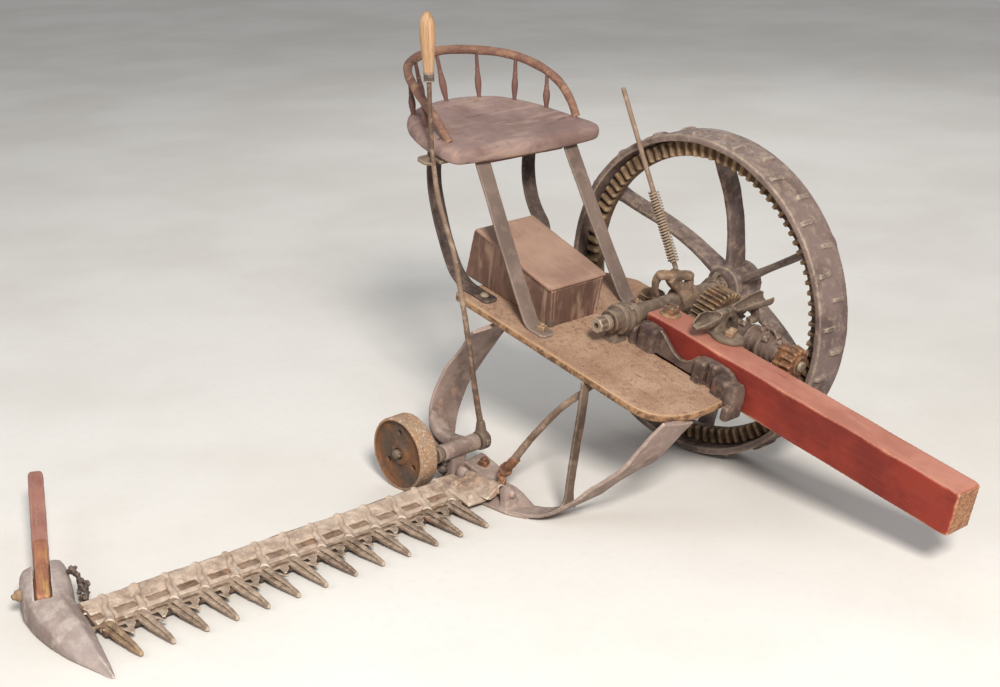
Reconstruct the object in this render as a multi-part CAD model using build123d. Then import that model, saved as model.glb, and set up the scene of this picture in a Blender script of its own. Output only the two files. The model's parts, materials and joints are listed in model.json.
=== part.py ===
from build123d import *
import os
from math import sin, cos, tan, radians, degrees, atan2, hypot, pi

os.makedirs("parts", exist_ok=True)

# ---------------------------------------------------------------------------
# One-wheeled horse-drawn mower, parked with its cutter bar laid out on the ground.
# Millimetres.  +X is the driver's right, the side of the cutter bar, +Y is forward, +Z is up.
# Two working frames:
#   machine frame (x, y, z): z = 0 is the ground, x = 0 the outer face of the drive wheel's
#       near side, y = 0 the drive axle.
#   chassis frame (x, u, w): the machine frame turned about the drive axle by the nose-down
#       pitch at which the chassis rests on its runner: u is forward along the tongue, w is up.
# Everything is moved at the end so that the origin is under the middle of the whole machine.
# ---------------------------------------------------------------------------
ORIGIN_X = 729.699           # where the origin lies in the machine frame
ORIGIN_Y = 39.424

# driving dimensions
WHEEL_D = 840.0             # drive wheel over its lugs
AXLE_Z = WHEEL_D / 2
PITCH = 13.5                # nose-down rest of the chassis, degrees
RIM_R, RIM_IN, RIM_W = 413.0, 395.0, 110.0
LUG_N, LUG_W, LUG_L = 40, 12.0, 50.0
GEAR_TEETH, GEAR_IN = 90, 352.0
GEAR_FACE, GEAR_ROOT, GEAR_BACK = -28.0, -44.0, -61.5
SPOKE_N, SPOKE_AT, SPOKE_T, SPOKE_W = 6, 2.5, 19.0, 56.0
HUB_R, HUB_X0, HUB_X1 = 52.0, -232.0, -132.0
AXLE_R = 17.0
FIT = 0.05                  # radial room of a shaft in its bore
TONGUE_X0, TONGUE_X1 = 104.0, 190.0
TONGUE_U0, TONGUE_U1 = 32.0, 950.0
TONGUE_W0, TONGUE_W1 = -90.0, 20.0
PLANK_TOP, PLANK_T = -60.0, 20.0
SEAT_BOTTOM, SEAT_T = 285.0, 40.0
SEAT_TOP = SEAT_BOTTOM + SEAT_T
STRAP_W, STRAP_T = 46.0, 7.0
GAUGE_R, GAUGE_X0, GAUGE_X1, GAUGE_Y = 94.0, 632.0, 685.0, -340.0
CRANK_Y, CRANK_Z, CRANK_R = -266.0, 94.0, 14.0
FOLD_X, FOLD_Y, FOLD_Z, BAR_YAW, PIN_R = 578.0, 0.0, 45.0, -1.9, 7.0
GUARD_N, GUARD_PITCH, GUARD_FIRST = 13, 76.0, 118.0
BAR_BACK, BAR_FRONT, BAR_Z, BAR_T = -238.0, -135.0, 12.0, 10.0
BAR_TILT = 13.5             # the bar lies with its rear edge raised, points down, degrees
SLEEVE_X0, SLEEVE_X1, SLEEVE_R = 490.0, 604.0, 22.0


# ------------------------------------------------------------------ helpers
def put(shape):
    """Chassis frame to machine frame."""
    return Location((0, 0, AXLE_Z), (-PITCH, 0, 0)) * shape


def save(name, shape):
    shape = Location((-ORIGIN_X, -ORIGIN_Y, 0)) * shape
    shape.label = name
    export_step(shape, "parts/%s.step" % name)
    return shape


def block(x0, x1, y0, y1, z0, z1):
    return Pos((x0 + x1) / 2, (y0 + y1) / 2, (z0 + z1) / 2) * Box(x1 - x0, y1 - y0, z1 - z0)


def rod_x(x0, x1, r, y=0.0, z=0.0):
    return Location(((x0 + x1) / 2, y, z), (0, 90, 0)) * Cylinder(r, x1 - x0)


def rod_y(y0, y1, r, x=0.0, z=0.0):
    return Location((x, (y0 + y1) / 2, z), (90, 0, 0)) * Cylinder(r, y1 - y0)


def rod_z(z0, z1, r, x=0.0, y=0.0):
    return Pos(x, y, (z0 + z1) / 2) * Cylinder(r, z1 - z0)


def rod_between(a, b, r):
    a, b = Vector(*a), Vector(*b)
    d = b - a
    return Plane(origin=(a + b) / 2, z_dir=d) * Cylinder(r, d.length)


def radii(pts, share=0.45):
    """The largest radius each corner takes without using more than its share of a run."""
    out = []
    for a, b, c in zip(pts, pts[1:], pts[2:]):
        a, b, c = Vector(*a), Vector(*b), Vector(*c)
        turn = (b - a).get_angle(c - b)
        out.append(share * min((b - a).length, (c - b).length) / tan(radians(turn) / 2))
    return out


def bent_rod(pts, r):
    line = FilletPolyline(*pts, radius=radii(pts))
    return sweep(Plane(origin=line @ 0, z_dir=line % 0) * Circle(r), path=line)


def ribbon(stations, width, thick):
    """A flat iron whose width lies along x.  Stations: (x, y, z) of the middle of its thickness."""
    faces = []
    n = len(stations)
    for i, (x, y, z) in enumerate(stations):
        a = stations[max(i - 1, 0)]
        b = stations[min(i + 1, n - 1)]
        d = Vector(0, b[1] - a[1], b[2] - a[2])
        faces.append(Plane(origin=(x, y, z), x_dir=(1, 0, 0), z_dir=d) * Rectangle(width, thick))
    return loft(faces, ruled=True)


def plate_x(points, x0, x1):
    """A plate of the outline (y, z) that fills x0 to x1."""
    face = Plane(origin=(x0, 0, 0), x_dir=(0, 1, 0), z_dir=(1, 0, 0)) * make_face(Polyline(*points, close=True))
    return extrude(face, amount=x1 - x0)


def plate_z(points, z0, z1):
    face = Pos(0, 0, z0) * make_face(Polyline(*points, close=True))
    return extrude(face, amount=z1 - z0)


def bar(shape):
    """Bar frame (s outward along the bar, t forward, z up, s = 0 on the fold pin) to machine frame."""
    return Location((FOLD_X, FOLD_Y, 0), (0, 0, BAR_YAW)) * shape


# ------------------------------------------------------------------ drive wheel (machine frame)
def at_axle(shape):
    return Location((0, 0, AXLE_Z)) * shape


rim = rod_x(-RIM_W, 0, RIM_R) - rod_x(-RIM_W - 1, 1, RIM_IN)
hub = rod_x(HUB_X0, HUB_X1, HUB_R)
hub += rod_x(HUB_X0 - 12, HUB_X0, 34)
# spoke blade sections: radius, x of its middle, width along x
SPOKES = ((45, -182, 64), (110, -180, 62), (180, -172, 60), (250, -152, 58), (320, -120, 56), (398, -88, 52))
blades = []
for i in range(SPOKE_N):
    secs = [Pos(x, 0, r) * Rectangle(w, SPOKE_T) for r, x, w in SPOKES]
    blade = loft(secs, ruled=True)
    blades.append(Rot(-(SPOKE_AT + i * 360 / SPOKE_N), 0, 0) * blade)
wheel = rim + hub
for blade in blades:
    wheel += blade
wheel -= rod_x(HUB_X0 - 30, HUB_X1 + 30, AXLE_R + FIT)
wheel -= rod_x(GEAR_BACK + 0.2, 5, RIM_IN)            # the blades' ends are faced off behind the gear ring
lugs = []
for i in range(LUG_N):
    x = -RIM_W + LUG_L / 2 + 3 if i % 2 else -LUG_L / 2 - 3
    lugs.append(Rot(i * 360 / LUG_N, 0, 0) * Pos(x, 0, -(RIM_R + WHEEL_D / 2) / 2 + 1) * Box(LUG_L, LUG_W, WHEEL_D / 2 - RIM_R + 2))
wheel = wheel + lugs
save("drive_wheel", at_axle(wheel))

crown = rod_x(GEAR_BACK, GEAR_ROOT, RIM_IN - 0.3) - rod_x(GEAR_BACK - 1, GEAR_ROOT + 1, GEAR_IN)
teeth = [Rot(-(i + 0.5) * 360 / GEAR_TEETH, 0, 0) * Pos((GEAR_ROOT + GEAR_FACE) / 2 - 0.5, 0, (GEAR_IN + RIM_IN) / 2 - 3)
         * Box(GEAR_FACE - GEAR_ROOT + 1, 11, RIM_IN - GEAR_IN - 8) for i in range(GEAR_TEETH)]
crown = crown + teeth
save("drive_wheel_crown_gear", at_axle(crown))

# ------------------------------------------------------------------ axle and what is on it (chassis frame)
axle = rod_x(HUB_X0 - 8, 290, AXLE_R) + rod_x(288, 330, 20) + rod_x(HUB_X0 - 26, HUB_X0 - 14.5, 26)
save("axle", put(axle))

# ring: x0, x1, outer radius
RINGS = ((-122, -110, 33), (-109.5, -100, 27), (-99.5, -88, 32), (-87.5, -76, 28), (-75.5, -22, 22),
         (48, 196, 23), (196.5, 214, 30), (214.5, 226, 28), (226.5, 240, 38), (240.5, 246, 35), (246.5, 262, 38), (262.5, 287, 29))
collars = [rod_x(a, b, r) - rod_x(a - 1, b + 1, AXLE_R + FIT) for a, b, r in RINGS]
save("axle_collars", put(Compound(children=collars)))

# clutch yoke on the axle: boss, leaning column, prong, rear leg, foot on the platform and the slanting cap with the lug of the control rod
yoke = rod_x(-20, 46, 35) + block(-20, 42, -35, 10, PLANK_TOP, 0)
yoke += Pos(40, -12, 35.5) * Rot(0, 42.7, 0) * Box(32, 28, 68) + block(8, 24, -8, 14, 25, 62)
yoke += block(80, 93, -50, -27, 6, 62) + block(24, 46, -39, 0, 60, 74)
cap = Pos(50, -14.5, 67) * Rot(0, 0, -26) * Box(100, 32, 14)
yoke += fillet(cap.edges().filter_by(Axis.Z), 13)
yoke -= rod_x(-40, 120, AXLE_R + FIT) + rod_x(47, 200, 23.6)
save("clutch_yoke", put(yoke))

# control rod and its spring
ROD_A, ROD_B = (34, -31, 78.32), (18, -322, 448)
save("control_rod", put(rod_between(ROD_A, ROD_B, 6.5)))
k = 0.42
ROD_K = tuple(a + (b - a) * k for a, b in zip(ROD_A, ROD_B))
ROD_J = tuple(a + (b - a) * 0.03 for a, b in zip(ROD_A, ROD_B))
spring = rod_between(ROD_J, ROD_K, 14.5) - rod_between(ROD_A, ROD_B, 6.5 + FIT)
save("control_spring", put(spring))

# ------------------------------------------------------------------ timber and main casting
tongue = block(TONGUE_X0, TONGUE_X1, TONGUE_U0, TONGUE_U1, TONGUE_W0, TONGUE_W1)
tongue = chamfer(tongue.edges().filter_by(Axis.Y), 4)
save("tongue", put(tongue))

PLANK = ((446, -372), (446, 236), (436, 282), (410, 316), (370, 338), (320, 346), (260, 344), (208, 338),
         (208, 14), (-56, 14), (-56, -214), (52, -384), (434, -384))
plank = plate_z(PLANK, PLANK_TOP - PLANK_T, PLANK_TOP)
save("platform", put(plank))

casting = block(60, 300, -40, 300, -112, -90.3) + block(230, 300, -150, 300, -112, -80.3)
casting += block(-30, 60, -120, 10, -112, -80.3)
casting += block(60, 240, -150, -40, -112, -80.3)
casting -= block(110, 190, 60, 240, -113, -101)
save("frame_casting", put(casting))

# wavy cast bracket between tongue and platform: outline (u, w)
BRACKET = ((20, -59.5), (20, -22), (34, -8), (62, 6), (96, 8), (120, -6), (150, -34), (176, -40), (198, -32), (222, -8),
           (262, 2), (300, 4), (336, -2), (344, -30), (344, -59.5))
bracket = plate_x(BRACKET, 190.5, 208)
bracket += block(206, 226, 22, 92, -59.5, -6) + block(206, 226, 236, 282, -59.5, -8)
bracket += block(206, 234, 296, 340, -59.5, -12)
bracket += block(190.5, 250, 348.5, 372, -100, -12) + block(190.5, 206, 336, 352, -100, -12)
bracket -= rod_x(200, 300, 32)
save("tongue_bracket", put(bracket))

# ------------------------------------------------------------------ gearing ahead of the axle
SHAFT_X, SHAFT_W = 20.0, 0.0
save("countershaft", put(rod_y(66, 392, 13, SHAFT_X, SHAFT_W)))


def on_shaft(u0, u1, r):
    return rod_y(u0, u1, r, SHAFT_X, SHAFT_W) - rod_y(u0 - 1, u1 + 1, 13 + FIT, SHAFT_X, SHAFT_W)


ribbed = on_shaft(86, 146, 70)
for i in range(34):
    a = radians(i * 360 / 34)
    ribbed += Location((SHAFT_X, 116, SHAFT_W), (0, i * 360 / 34, 0)) * Pos(0, 0, 74) * Box(7, 60, 12)
save("ribbed_gear", put(ribbed))

# clutch halves: u0, u1, radius
CLUTCH = ((196, 222, 30), (222.5, 236, 38), (236.5, 262, 33), (262.5, 276, 39), (276.5, 306, 32), (306.5, 326, 27))
save("clutch_collars", put(Compound(children=[on_shaft(*c) for c in CLUTCH])))

pinion = on_shaft(332, 380, 34)
for i in range(12):
    pinion += Location((SHAFT_X, 356, SHAFT_W), (0, i * 30, 0)) * Pos(0, 0, 36.5) * Box(10, 48, 13)
save("bevel_pinion", put(pinion))

bearing = rod_y(150, 190, 30, SHAFT_X, SHAFT_W) + block(SHAFT_X, TONGUE_X0 - 0.3, 152, 188, -34, 6)
bearing -= rod_y(140, 200, 13 + FIT, SHAFT_X, SHAFT_W)
save("shaft_bearing", put(bearing))

# double-lobed oil trough on its stand, bolted to the tongue
wing = block(-70, 205, 176, 202, 60, 74)
wing += rod_z(60, 78, 26, 182, 189) + rod_z(60, 78, 26, -46, 189)
wing += block(88, 122, 178, 200, TONGUE_W1 + 12, 62)
wing += rod_z(TONGUE_W1 + 0.2, TONGUE_W1 + 12, 34, 112, 232) + block(84, 126, 176, 232, TONGUE_W1 + 0.2, TONGUE_W1 + 16)
wing += block(-60, -34, 178, 200, 20, 62) + block(-60, -6, 178, 200, 20, 34)
save("gear_guard", put(wing))

hold = rod_z(TONGUE_W1 + 0.2, TONGUE_W1 + 8, 30, 146, 70) + block(130, 162, 54, 86, TONGUE_W1 + 8, TONGUE_W1 + 18)
save("tongue_plate", put(hold))

# ------------------------------------------------------------------ toolbox (chassis frame)
BOX_B = (190, 353, -444, -125)      # bottom: x0, x1, u0, u1
BOX_T = (176, 366, -420, -134)      # top at TOP_W
TOP_W = 100.0
BOX_WALL, LID_T = 9.0, 12.0
SEAM_F, SEAM_R = 38.0, 78.0         # seam height at the front and rear edge
SEAM = degrees(atan2(SEAM_R - SEAM_F, BOX_T[3] - BOX_T[2]))


def frustum(inset, w0):
    lo = Pos((BOX_B[0] + BOX_B[1]) / 2, (BOX_B[2] + BOX_B[3]) / 2, w0) * Rectangle(BOX_B[1] - BOX_B[0] - 2 * inset, BOX_B[3] - BOX_B[2] - 2 * inset)
    hi = Pos((BOX_T[0] + BOX_T[1]) / 2, (BOX_T[2] + BOX_T[3]) / 2, TOP_W) * Rectangle(BOX_T[1] - BOX_T[0] - 2 * inset, BOX_T[3] - BOX_T[2] - 2 * inset)
    return loft([lo, hi], ruled=True)


SEAM_PLANE = Location((0, BOX_T[3], SEAM_F), (-SEAM, 0, 0))
above = SEAM_PLANE * Pos(270, 0, 150) * Box(600, 1200, 300)
box_body = frustum(0, PLANK_TOP + 0.2) - frustum(BOX_WALL, PLANK_TOP + 0.2 + BOX_WALL) - above
save("toolbox", put(box_body))
LID_X0, LID_X1 = 172.0, 369.0
lid_len = (BOX_T[3] - BOX_T[2]) / cos(radians(SEAM))
lid = SEAM_PLANE * block(LID_X0, LID_X1, -lid_len + 4, 3, 0.6, 0.6 + LID_T)
lid = chamfer(lid.faces().sort_by(Axis.Z)[-1].edges(), 3)
save("toolbox_lid", put(lid))

# ------------------------------------------------------------------ seat
SEAT = ((36, -372), (140, -367), (250, -368), (360, -374), (462, -384), (488, -394), (499, -418), (500, -470), (496, -520),
        (486, -560), (468, -602), (440, -638), (400, -664), (350, -680), (290, -688), (230, -687), (175, -676), (125, -652),
        (84, -614), (52, -560), (30, -500), (14, -450), (3, -412), (8, -384))
seat = plate_z(SEAT, SEAT_BOTTOM, SEAT_TOP)
save("seat_board", put(seat))

RAIL = ((469, -446, 322), (471, -500, 361), (468, -556, 388), (458, -610, 406), (440, -656, 419), (408, -694, 429),
        (356, -716, 436), (300, -722, 439), (240, -718, 439), (178, -700, 436), (118, -668, 433), (78, -622, 427),
        (53, -568, 414), (39, -519, 393), (32, -478, 359), (29, -452, 322))
rail = bent_rod(RAIL, 10.5) - block(-100, 600, -900, -300, 200, SEAT_TOP + 0.1)
save("seat_rail", put(rail))

# spindles: foot on the board and head in the bow, (x, u) and (x, u, w)
SPINDLES = (((462, -540), (466, -566, 391)), ((436, -622), (447, -643, 415)), ((368, -660), (376, -712, 434)), ((290, -664), (298, -722, 439)),
            ((186, -656), (178, -700, 436)), ((108, -604), (92, -640, 430)), ((62, -530), (50, -560, 410)))
spindles = []
for (fx, fu), head in SPINDLES:
    sp = rod_between((fx, fu, SEAT_TOP + 0.1), head, 6.5)
    spindles.append((sp - bent_rod(RAIL, 10.6)) - block(-100, 600, -900, -300, 200, SEAT_TOP + 0.1))
solids = []
for sp in spindles:
    solids.append(sorted(sp.solids(), key=lambda q: q.volume)[-1])
save("seat_spindles", put(Compound(children=solids)))

battens = block(60, 436, -452, -416, SEAT_BOTTOM - 14, SEAT_BOTTOM - 0.2)
battens += block(60, 450, -610, -574, SEAT_BOTTOM - 14, SEAT_BOTTOM - 0.2)
save("seat_battens", put(battens))

# ------------------------------------------------------------------ seat straps (chassis frame): stations (x, u, w)
STRAPS = {
    "seat_strap_front_right": ((391, -104, -56.3), (391, -136, -56.3), (391, -150, -52), (392, -160, -42), (392, -396, 270)),
    "seat_strap_front_left": ((66, -90, -56.3), (66, -122, -56.3), (67, -137, -52), (68, -148, -42), (98, -388, 270)),
    "seat_strap_rear_right": ((396, -306, -56.3), (396, -348, -56.3), (397, -380, -55.5), (398, -404, -48), (398, -436, -29), (398, -475, 16),
                              (398, -518, 81), (398, -551, 147), (398, -566, 206), (398, -571, 270)),
    "seat_strap_rear_left": ((96, -290, -56.3), (96, -330, -56.3), (97, -366, -55), (97, -396, -38), (98, -424, -4), (98, -442, 34),
                             (98, -472, 60), (98, -497, 90), (98, -519, 135), (98, -531, 190), (98, -535, 270)),
}
for name, st in STRAPS.items():
    save(name, put(ribbon(st, STRAP_W, STRAP_T)))

# guide that catches the lift lever beside the seat
guide = block(440, 538, -474, -430, SEAT_BOTTOM - 8, SEAT_BOTTOM - 0.2)
guide -= block(504, 528, -456, -420, SEAT_BOTTOM - 20, SEAT_BOTTOM + 5)
save("lever_guide", put(guide))

# ------------------------------------------------------------------ runner (machine frame)
# stations: x, y, z of the middle of the iron, and its width there
RUN_FRONT = ((387, 315, 271, 136), (400, 293, 241, 134), (415, 273, 210, 130), (440, 237, 160, 124), (475, 169, 101, 108), (500, 128, 63, 94),
             (530, 74, 26, 76), (552, 26, 10, 64), (566, -30, 5.4, 58))
RUN_REAR = ((420, -260, 388, 124), (400, -312, 352, 130), (396, -362, 296, 132), (413, -400, 240, 130), (434, -420, 185, 110),
            (466, -416, 130, 90), (492, -392, 84, 72), (518, -352, 42, 64), (536, -312, 16, 60), (548, -276, 6.6, 58))


def runner(stations, thick, extra=0.0):
    faces = []
    n = len(stations)
    for i, (x, y, z, w) in enumerate(stations):
        p, q = stations[max(i - 1, 0)], stations[min(i + 1, n - 1)]
        faces.append(Plane(origin=(x, y, z), x_dir=(1, 0, 0), z_dir=(0, q[1] - p[1], q[2] - p[2])) * Rectangle(w + extra, thick))
    return loft(faces, ruled=True)


# inner shoe: sole and web with the two lugs that hold the fold pin
shoe = block(524, 604, -270, -32, 0.2, 9) + block(530, 546, -266, -40, 9, 40)
for t in (-212, -44):
    shoe += bar(plate_x(((t, 8), (t, 56), (t - 7, 64), (t - 21, 64), (t - 28, 56), (t - 28, 8)), -34, 18))
shoe += bar(rod_y(-250, -34, PIN_R, 0, FOLD_Z))
save("inner_shoe", shoe)
front = runner(RUN_FRONT, 10) - shoe - put(plank)
rear = runner(RUN_REAR, 10) - shoe - put(plank)
save("runner_front", front)
save("runner_rear", rear)

# sleeve that carries the cranked axle, with its web down to the shoe and back to the rear runner
sleeve = rod_x(SLEEVE_X0, SLEEVE_X1, SLEEVE_R, CRANK_Y, CRANK_Z)
sleeve += plate_x(((-288, 9.2), (-250, 9.2), (-250, 94), (-288, 94)), 548, 576)
sleeve += plate_x(((-410, 124), (-402, 92), (-380, 66), (-262, 78), (-262, 108), (-380, 124)), 500, 544)
sleeve -= rod_x(SLEEVE_X0 - 5, SLEEVE_X1 + 5, CRANK_R + FIT, CRANK_Y, CRANK_Z)
sleeve = sleeve - runner(RUN_REAR, 10.6, 0.6) - shoe
sleeve = sorted(sleeve.solids(), key=lambda q: q.volume)[-1]
save("axle_sleeve", sleeve)

# strut from the platform to the runner, and the curved brace rod with its eye
strut = ribbon(((433, 65, 318), (460, 77, 245), (489, 86, 171), (520, 94, 76), (526, 97, 42)), 26, 9) - put(plank) - runner(RUN_FRONT, 10.4, 0.4)
strut = sorted(strut.solids(), key=lambda q: q.volume)[-1]
save("runner_strut", strut)
BRACE = ((398, 80, 322), (418, 48, 288), (455, 0, 240), (490, -54, 168), (512, -92, 110), (522, -112, 76))
brace = bent_rod(BRACE, 9) + Location((522, -116, 74)) * rod_x(-12, 8, 19)
save("brace_rod", brace - put(plank) - shoe)

# ------------------------------------------------------------------ lift lever with the cranked axle
crank = rod_x(455, 618, CRANK_R, CRANK_Y, CRANK_Z)
arm = plate_x([(CRANK_Y + 21 * cos(radians(a)), CRANK_Z + 21 * sin(radians(a))) for a in range(-90, 91, 20)]
              + [(GAUGE_Y + 20 * cos(radians(a)), GAUGE_R + 20 * sin(radians(a))) for a in range(90, 271, 20)], 609, 624)
crank += arm + rod_x(620, 694, 13, GAUGE_Y, GAUGE_R)
save("crank_axle", crank)

boss = rod_x(458, 484, 25, CRANK_Y, CRANK_Z) - rod_x(450, 490, CRANK_R + FIT, CRANK_Y, CRANK_Z)
boss += block(462, 482, CRANK_Y - 12, CRANK_Y + 12, CRANK_Z + 22, CRANK_Z + 46)
save("lever_boss", boss)
LEVER = ((472, -266, 140), (487, -264, 215), (502, -274, 385), (510, -308, 585), (514, -350, 700), (515, -367, 800), (517, -370, 990))
lever = bent_rod(LEVER, 6.5) - boss
save("lift_lever", lever)
save("lever_ferrule", rod_z(990.5, 1012, 13, 517, -370))
# handle sections: height above the ferrule, radius
HANDLE = ((0, 13.5), (35, 16), (95, 19.5), (125, 18), (139, 12), (144, 5))
secs = [Pos(517, -370, 1012.1 + h) * Circle(r) for h, r in HANDLE]
save("lever_handle", loft(secs, ruled=True))

gauge = rod_x(GAUGE_X0, GAUGE_X1, GAUGE_R, GAUGE_Y, GAUGE_R) - rod_x(GAUGE_X0 + 42, GAUGE_X1 + 5, GAUGE_R - 8, GAUGE_Y, GAUGE_R)
gauge -= rod_x(GAUGE_X0 - 5, GAUGE_X0 + 30, GAUGE_R - 10, GAUGE_Y, GAUGE_R)
gauge += rod_x(GAUGE_X0 - 2, GAUGE_X1 - 4, 28, GAUGE_Y, GAUGE_R)
for a in (91, 211, 331):
    gauge -= rod_x(GAUGE_X0, GAUGE_X1, 7, GAUGE_Y + 52 * cos(radians(a)), GAUGE_R + 52 * sin(radians(a)))
gauge -= rod_x(GAUGE_X0 - 5, GAUGE_X1 + 5, 13 + FIT, GAUGE_Y, GAUGE_R)
save("gauge_wheel", gauge)

# ------------------------------------------------------------------ cutter bar (bar frame: s along the bar, t forward, z up)
BAR_END = 1044.0


def tilt(shape):
    """Turns about the bar's lower front edge so that the rear edge is raised."""
    return Location((0, BAR_FRONT, BAR_Z), (-BAR_TILT, 0, 0)) * Location((0, -BAR_FRONT, -BAR_Z)) * shape


flat = tilt(block(34, BAR_END, BAR_BACK, BAR_FRONT, BAR_Z, BAR_Z + BAR_T))
save("finger_bar", bar(flat))

heel = tilt(block(-10, 84, -208, -140, BAR_Z + BAR_T + 0.2, BAR_Z + BAR_T + 9) + block(30, 84, -142, -104, BAR_Z + BAR_T + 0.2, BAR_Z + BAR_T + 9))
heel += block(2, 32, -204, -80, BAR_Z + BAR_T + 5, FOLD_Z + 6)
heel += rod_y(-204, -80, 13, 0, FOLD_Z)
heel -= flat
heel -= block(-12, 34, -260, BAR_FRONT + 3, 0, BAR_Z + BAR_T + 6)
heel -= rod_y(-220, -60, PIN_R + FIT, 0, FOLD_Z)
heel = sorted(heel.solids(), key=lambda q: q.volume)[-1]
save("bar_heel", bar(heel))

guards = block(85, BAR_END - 1, BAR_FRONT + 3, -98, 8, 20)
for i in range(GUARD_N):
    s = GUARD_FIRST + i * GUARD_PITCH
    s1 = min(s + 33, BAR_END - 1)
    pad = tilt(block(s - 33, s1, BAR_BACK, BAR_FRONT + 2, BAR_Z + BAR_T + 0.1, BAR_Z + BAR_T + 8))
    neck = block(s - 33, s1, BAR_FRONT + 3, -129, 8, BAR_Z + BAR_T + 7)
    sections = [Plane(origin=(s, t, z), x_dir=(1, 0, 0), z_dir=(0, 1, 0)) * Rectangle(w, h)
                for t, z, w, h in ((-104, 21, 24, 25), (-60, 20, 20, 22), (-18, 17, 14, 14), (0, 14, 6, 6))]
    guards += [pad, neck, loft(sections, ruled=True)]
guards -= flat
save("guards", bar(guards))

knife = block(90, BAR_END - 1, -126, -110, 20.4, 26)
for i in range(GUARD_N - 1):
    s = GUARD_FIRST + (i + 0.5) * GUARD_PITCH
    knife += plate_z(((s - 25, -112), (s + 25, -112), (s + 25, -98), (s + 7, -46), (s - 7, -46), (s - 25, -98)), 20.4, 24)
save("knife", bar(knife))

# outer divider shoe: t, inner and outer edge along s, height
DIVIDER = ((-388, 990, 1100, 84), (-345, 1002, 1120, 96), (-300, 1016, 1134, 94), (-250, 1040, 1143, 86), (-232, 1046, 1145, 82), (-200, 1048, 1146, 75),
           (-150, 1054, 1145, 62), (-100, 1065, 1140, 48), (-50, 1078, 1130, 34), (0, 1092, 1119, 20), (35, 1104, 1112, 9))
secs = [Plane(origin=((a + b) / 2, t, h / 2 + 0.2), x_dir=(-1, 0, 0), z_dir=(0, 1, 0)) * Rectangle(b - a, h) for t, a, b, h in DIVIDER]
divider = loft(secs, ruled=True)
divider += tilt(block(1012, 1060, -222, -150, BAR_Z - 9, BAR_Z - 0.2))
divider -= flat

stick_a, stick_b = Vector(1113, -240, 62), Vector(846, -812, 118)
d = stick_b - stick_a
LAY = Plane(origin=(stick_a + stick_b) / 2, z_dir=d, x_dir=(1, -0.45, 0))
save("grass_stick", bar(LAY * Box(36, 46, d.length)))
divider = divider - LAY * Box(36.4, 46.4, d.length + 0.4) - LAY * Pos(0, -30, 0) * Box(36.4, 60, d.length + 0.4)
save("divider_shoe", bar(divider))
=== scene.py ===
import bpy
import bmesh
import json
import numpy as np
from math import sin, cos, tan, radians, degrees, pi, atan2, hypot, sqrt
from mathutils import Vector, Matrix, Euler

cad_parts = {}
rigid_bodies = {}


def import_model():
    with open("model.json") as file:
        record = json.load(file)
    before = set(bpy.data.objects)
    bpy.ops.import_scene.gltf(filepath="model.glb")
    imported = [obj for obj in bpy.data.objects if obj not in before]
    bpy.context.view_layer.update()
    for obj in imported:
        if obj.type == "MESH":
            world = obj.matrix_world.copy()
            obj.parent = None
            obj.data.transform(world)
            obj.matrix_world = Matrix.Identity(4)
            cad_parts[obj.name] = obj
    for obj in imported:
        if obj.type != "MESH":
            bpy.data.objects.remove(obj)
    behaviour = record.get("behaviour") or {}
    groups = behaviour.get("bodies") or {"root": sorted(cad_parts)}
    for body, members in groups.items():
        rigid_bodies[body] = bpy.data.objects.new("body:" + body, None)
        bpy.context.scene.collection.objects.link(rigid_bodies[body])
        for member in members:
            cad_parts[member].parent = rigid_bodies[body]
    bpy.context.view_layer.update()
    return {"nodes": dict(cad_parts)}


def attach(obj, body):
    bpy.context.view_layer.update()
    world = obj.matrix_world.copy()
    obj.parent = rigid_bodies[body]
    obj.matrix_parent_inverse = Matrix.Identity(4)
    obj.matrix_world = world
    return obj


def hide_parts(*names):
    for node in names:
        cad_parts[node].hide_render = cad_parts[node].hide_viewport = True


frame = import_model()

N = frame["nodes"]

# ---------------------------------------------------------------------------
# Frames, all in millimetres, taken to the row frame in metres.
#   MA machine frame: x outward from the drive wheel's near face, y forward of the axle, z up from the ground
#   CH chassis frame: the machine frame pitched nose-down about the axle (x, u forward, w up)
#   BA bar frame: s along the cutter bar from its fold pin, t forward, z up
# ---------------------------------------------------------------------------
OX, OY, AXLE_Z, PITCH = 0.729699, 0.039424, 0.420, radians(13.5)
MM = Matrix.Scale(0.001, 4)
MA = Matrix.Translation((-OX, -OY, 0)) @ MM
CH = Matrix.Translation((-OX, -OY, AXLE_Z)) @ Matrix.Rotation(-PITCH, 4, "X") @ MM
WH = Matrix.Translation((-OX, -OY, AXLE_Z)) @ MM
BA = Matrix.Translation((0.578 - OX, -OY, 0)) @ Matrix.Rotation(radians(-1.9), 4, "Z") @ MM


# ------------------------------------------------------------------ small numeric helpers
def value_noise(P, scale, seed=0):
    """Smooth noise from -1 to 1 at each row of P."""
    Q = np.asarray(P, float) * scale + 13.7 * seed + 0.31
    I = np.floor(Q).astype(np.int64)
    F = Q - I
    F = F * F * F * (F * (F * 6 - 15) + 10)

    def h(dx, dy, dz):
        n = (I[:, 0] + dx) * 374761393 + (I[:, 1] + dy) * 668265263 + (I[:, 2] + dz) * 2246822519 + seed * 3266489917
        n = n & 0xFFFFFFFF
        n = ((n ^ (n >> 15)) * 2246822519) & 0xFFFFFFFF
        n = ((n ^ (n >> 13)) * 3266489917) & 0xFFFFFFFF
        n = n ^ (n >> 16)
        return (n & 0xFFFF) / 32767.5 - 1.0

    x, y, z = F[:, 0], F[:, 1], F[:, 2]
    a = h(0, 0, 0) * (1 - x) + h(1, 0, 0) * x
    b = h(0, 1, 0) * (1 - x) + h(1, 1, 0) * x
    c = h(0, 0, 1) * (1 - x) + h(1, 0, 1) * x
    d = h(0, 1, 1) * (1 - x) + h(1, 1, 1) * x
    return (a * (1 - y) + b * y) * (1 - z) + (c * (1 - y) + d * y) * z


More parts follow.
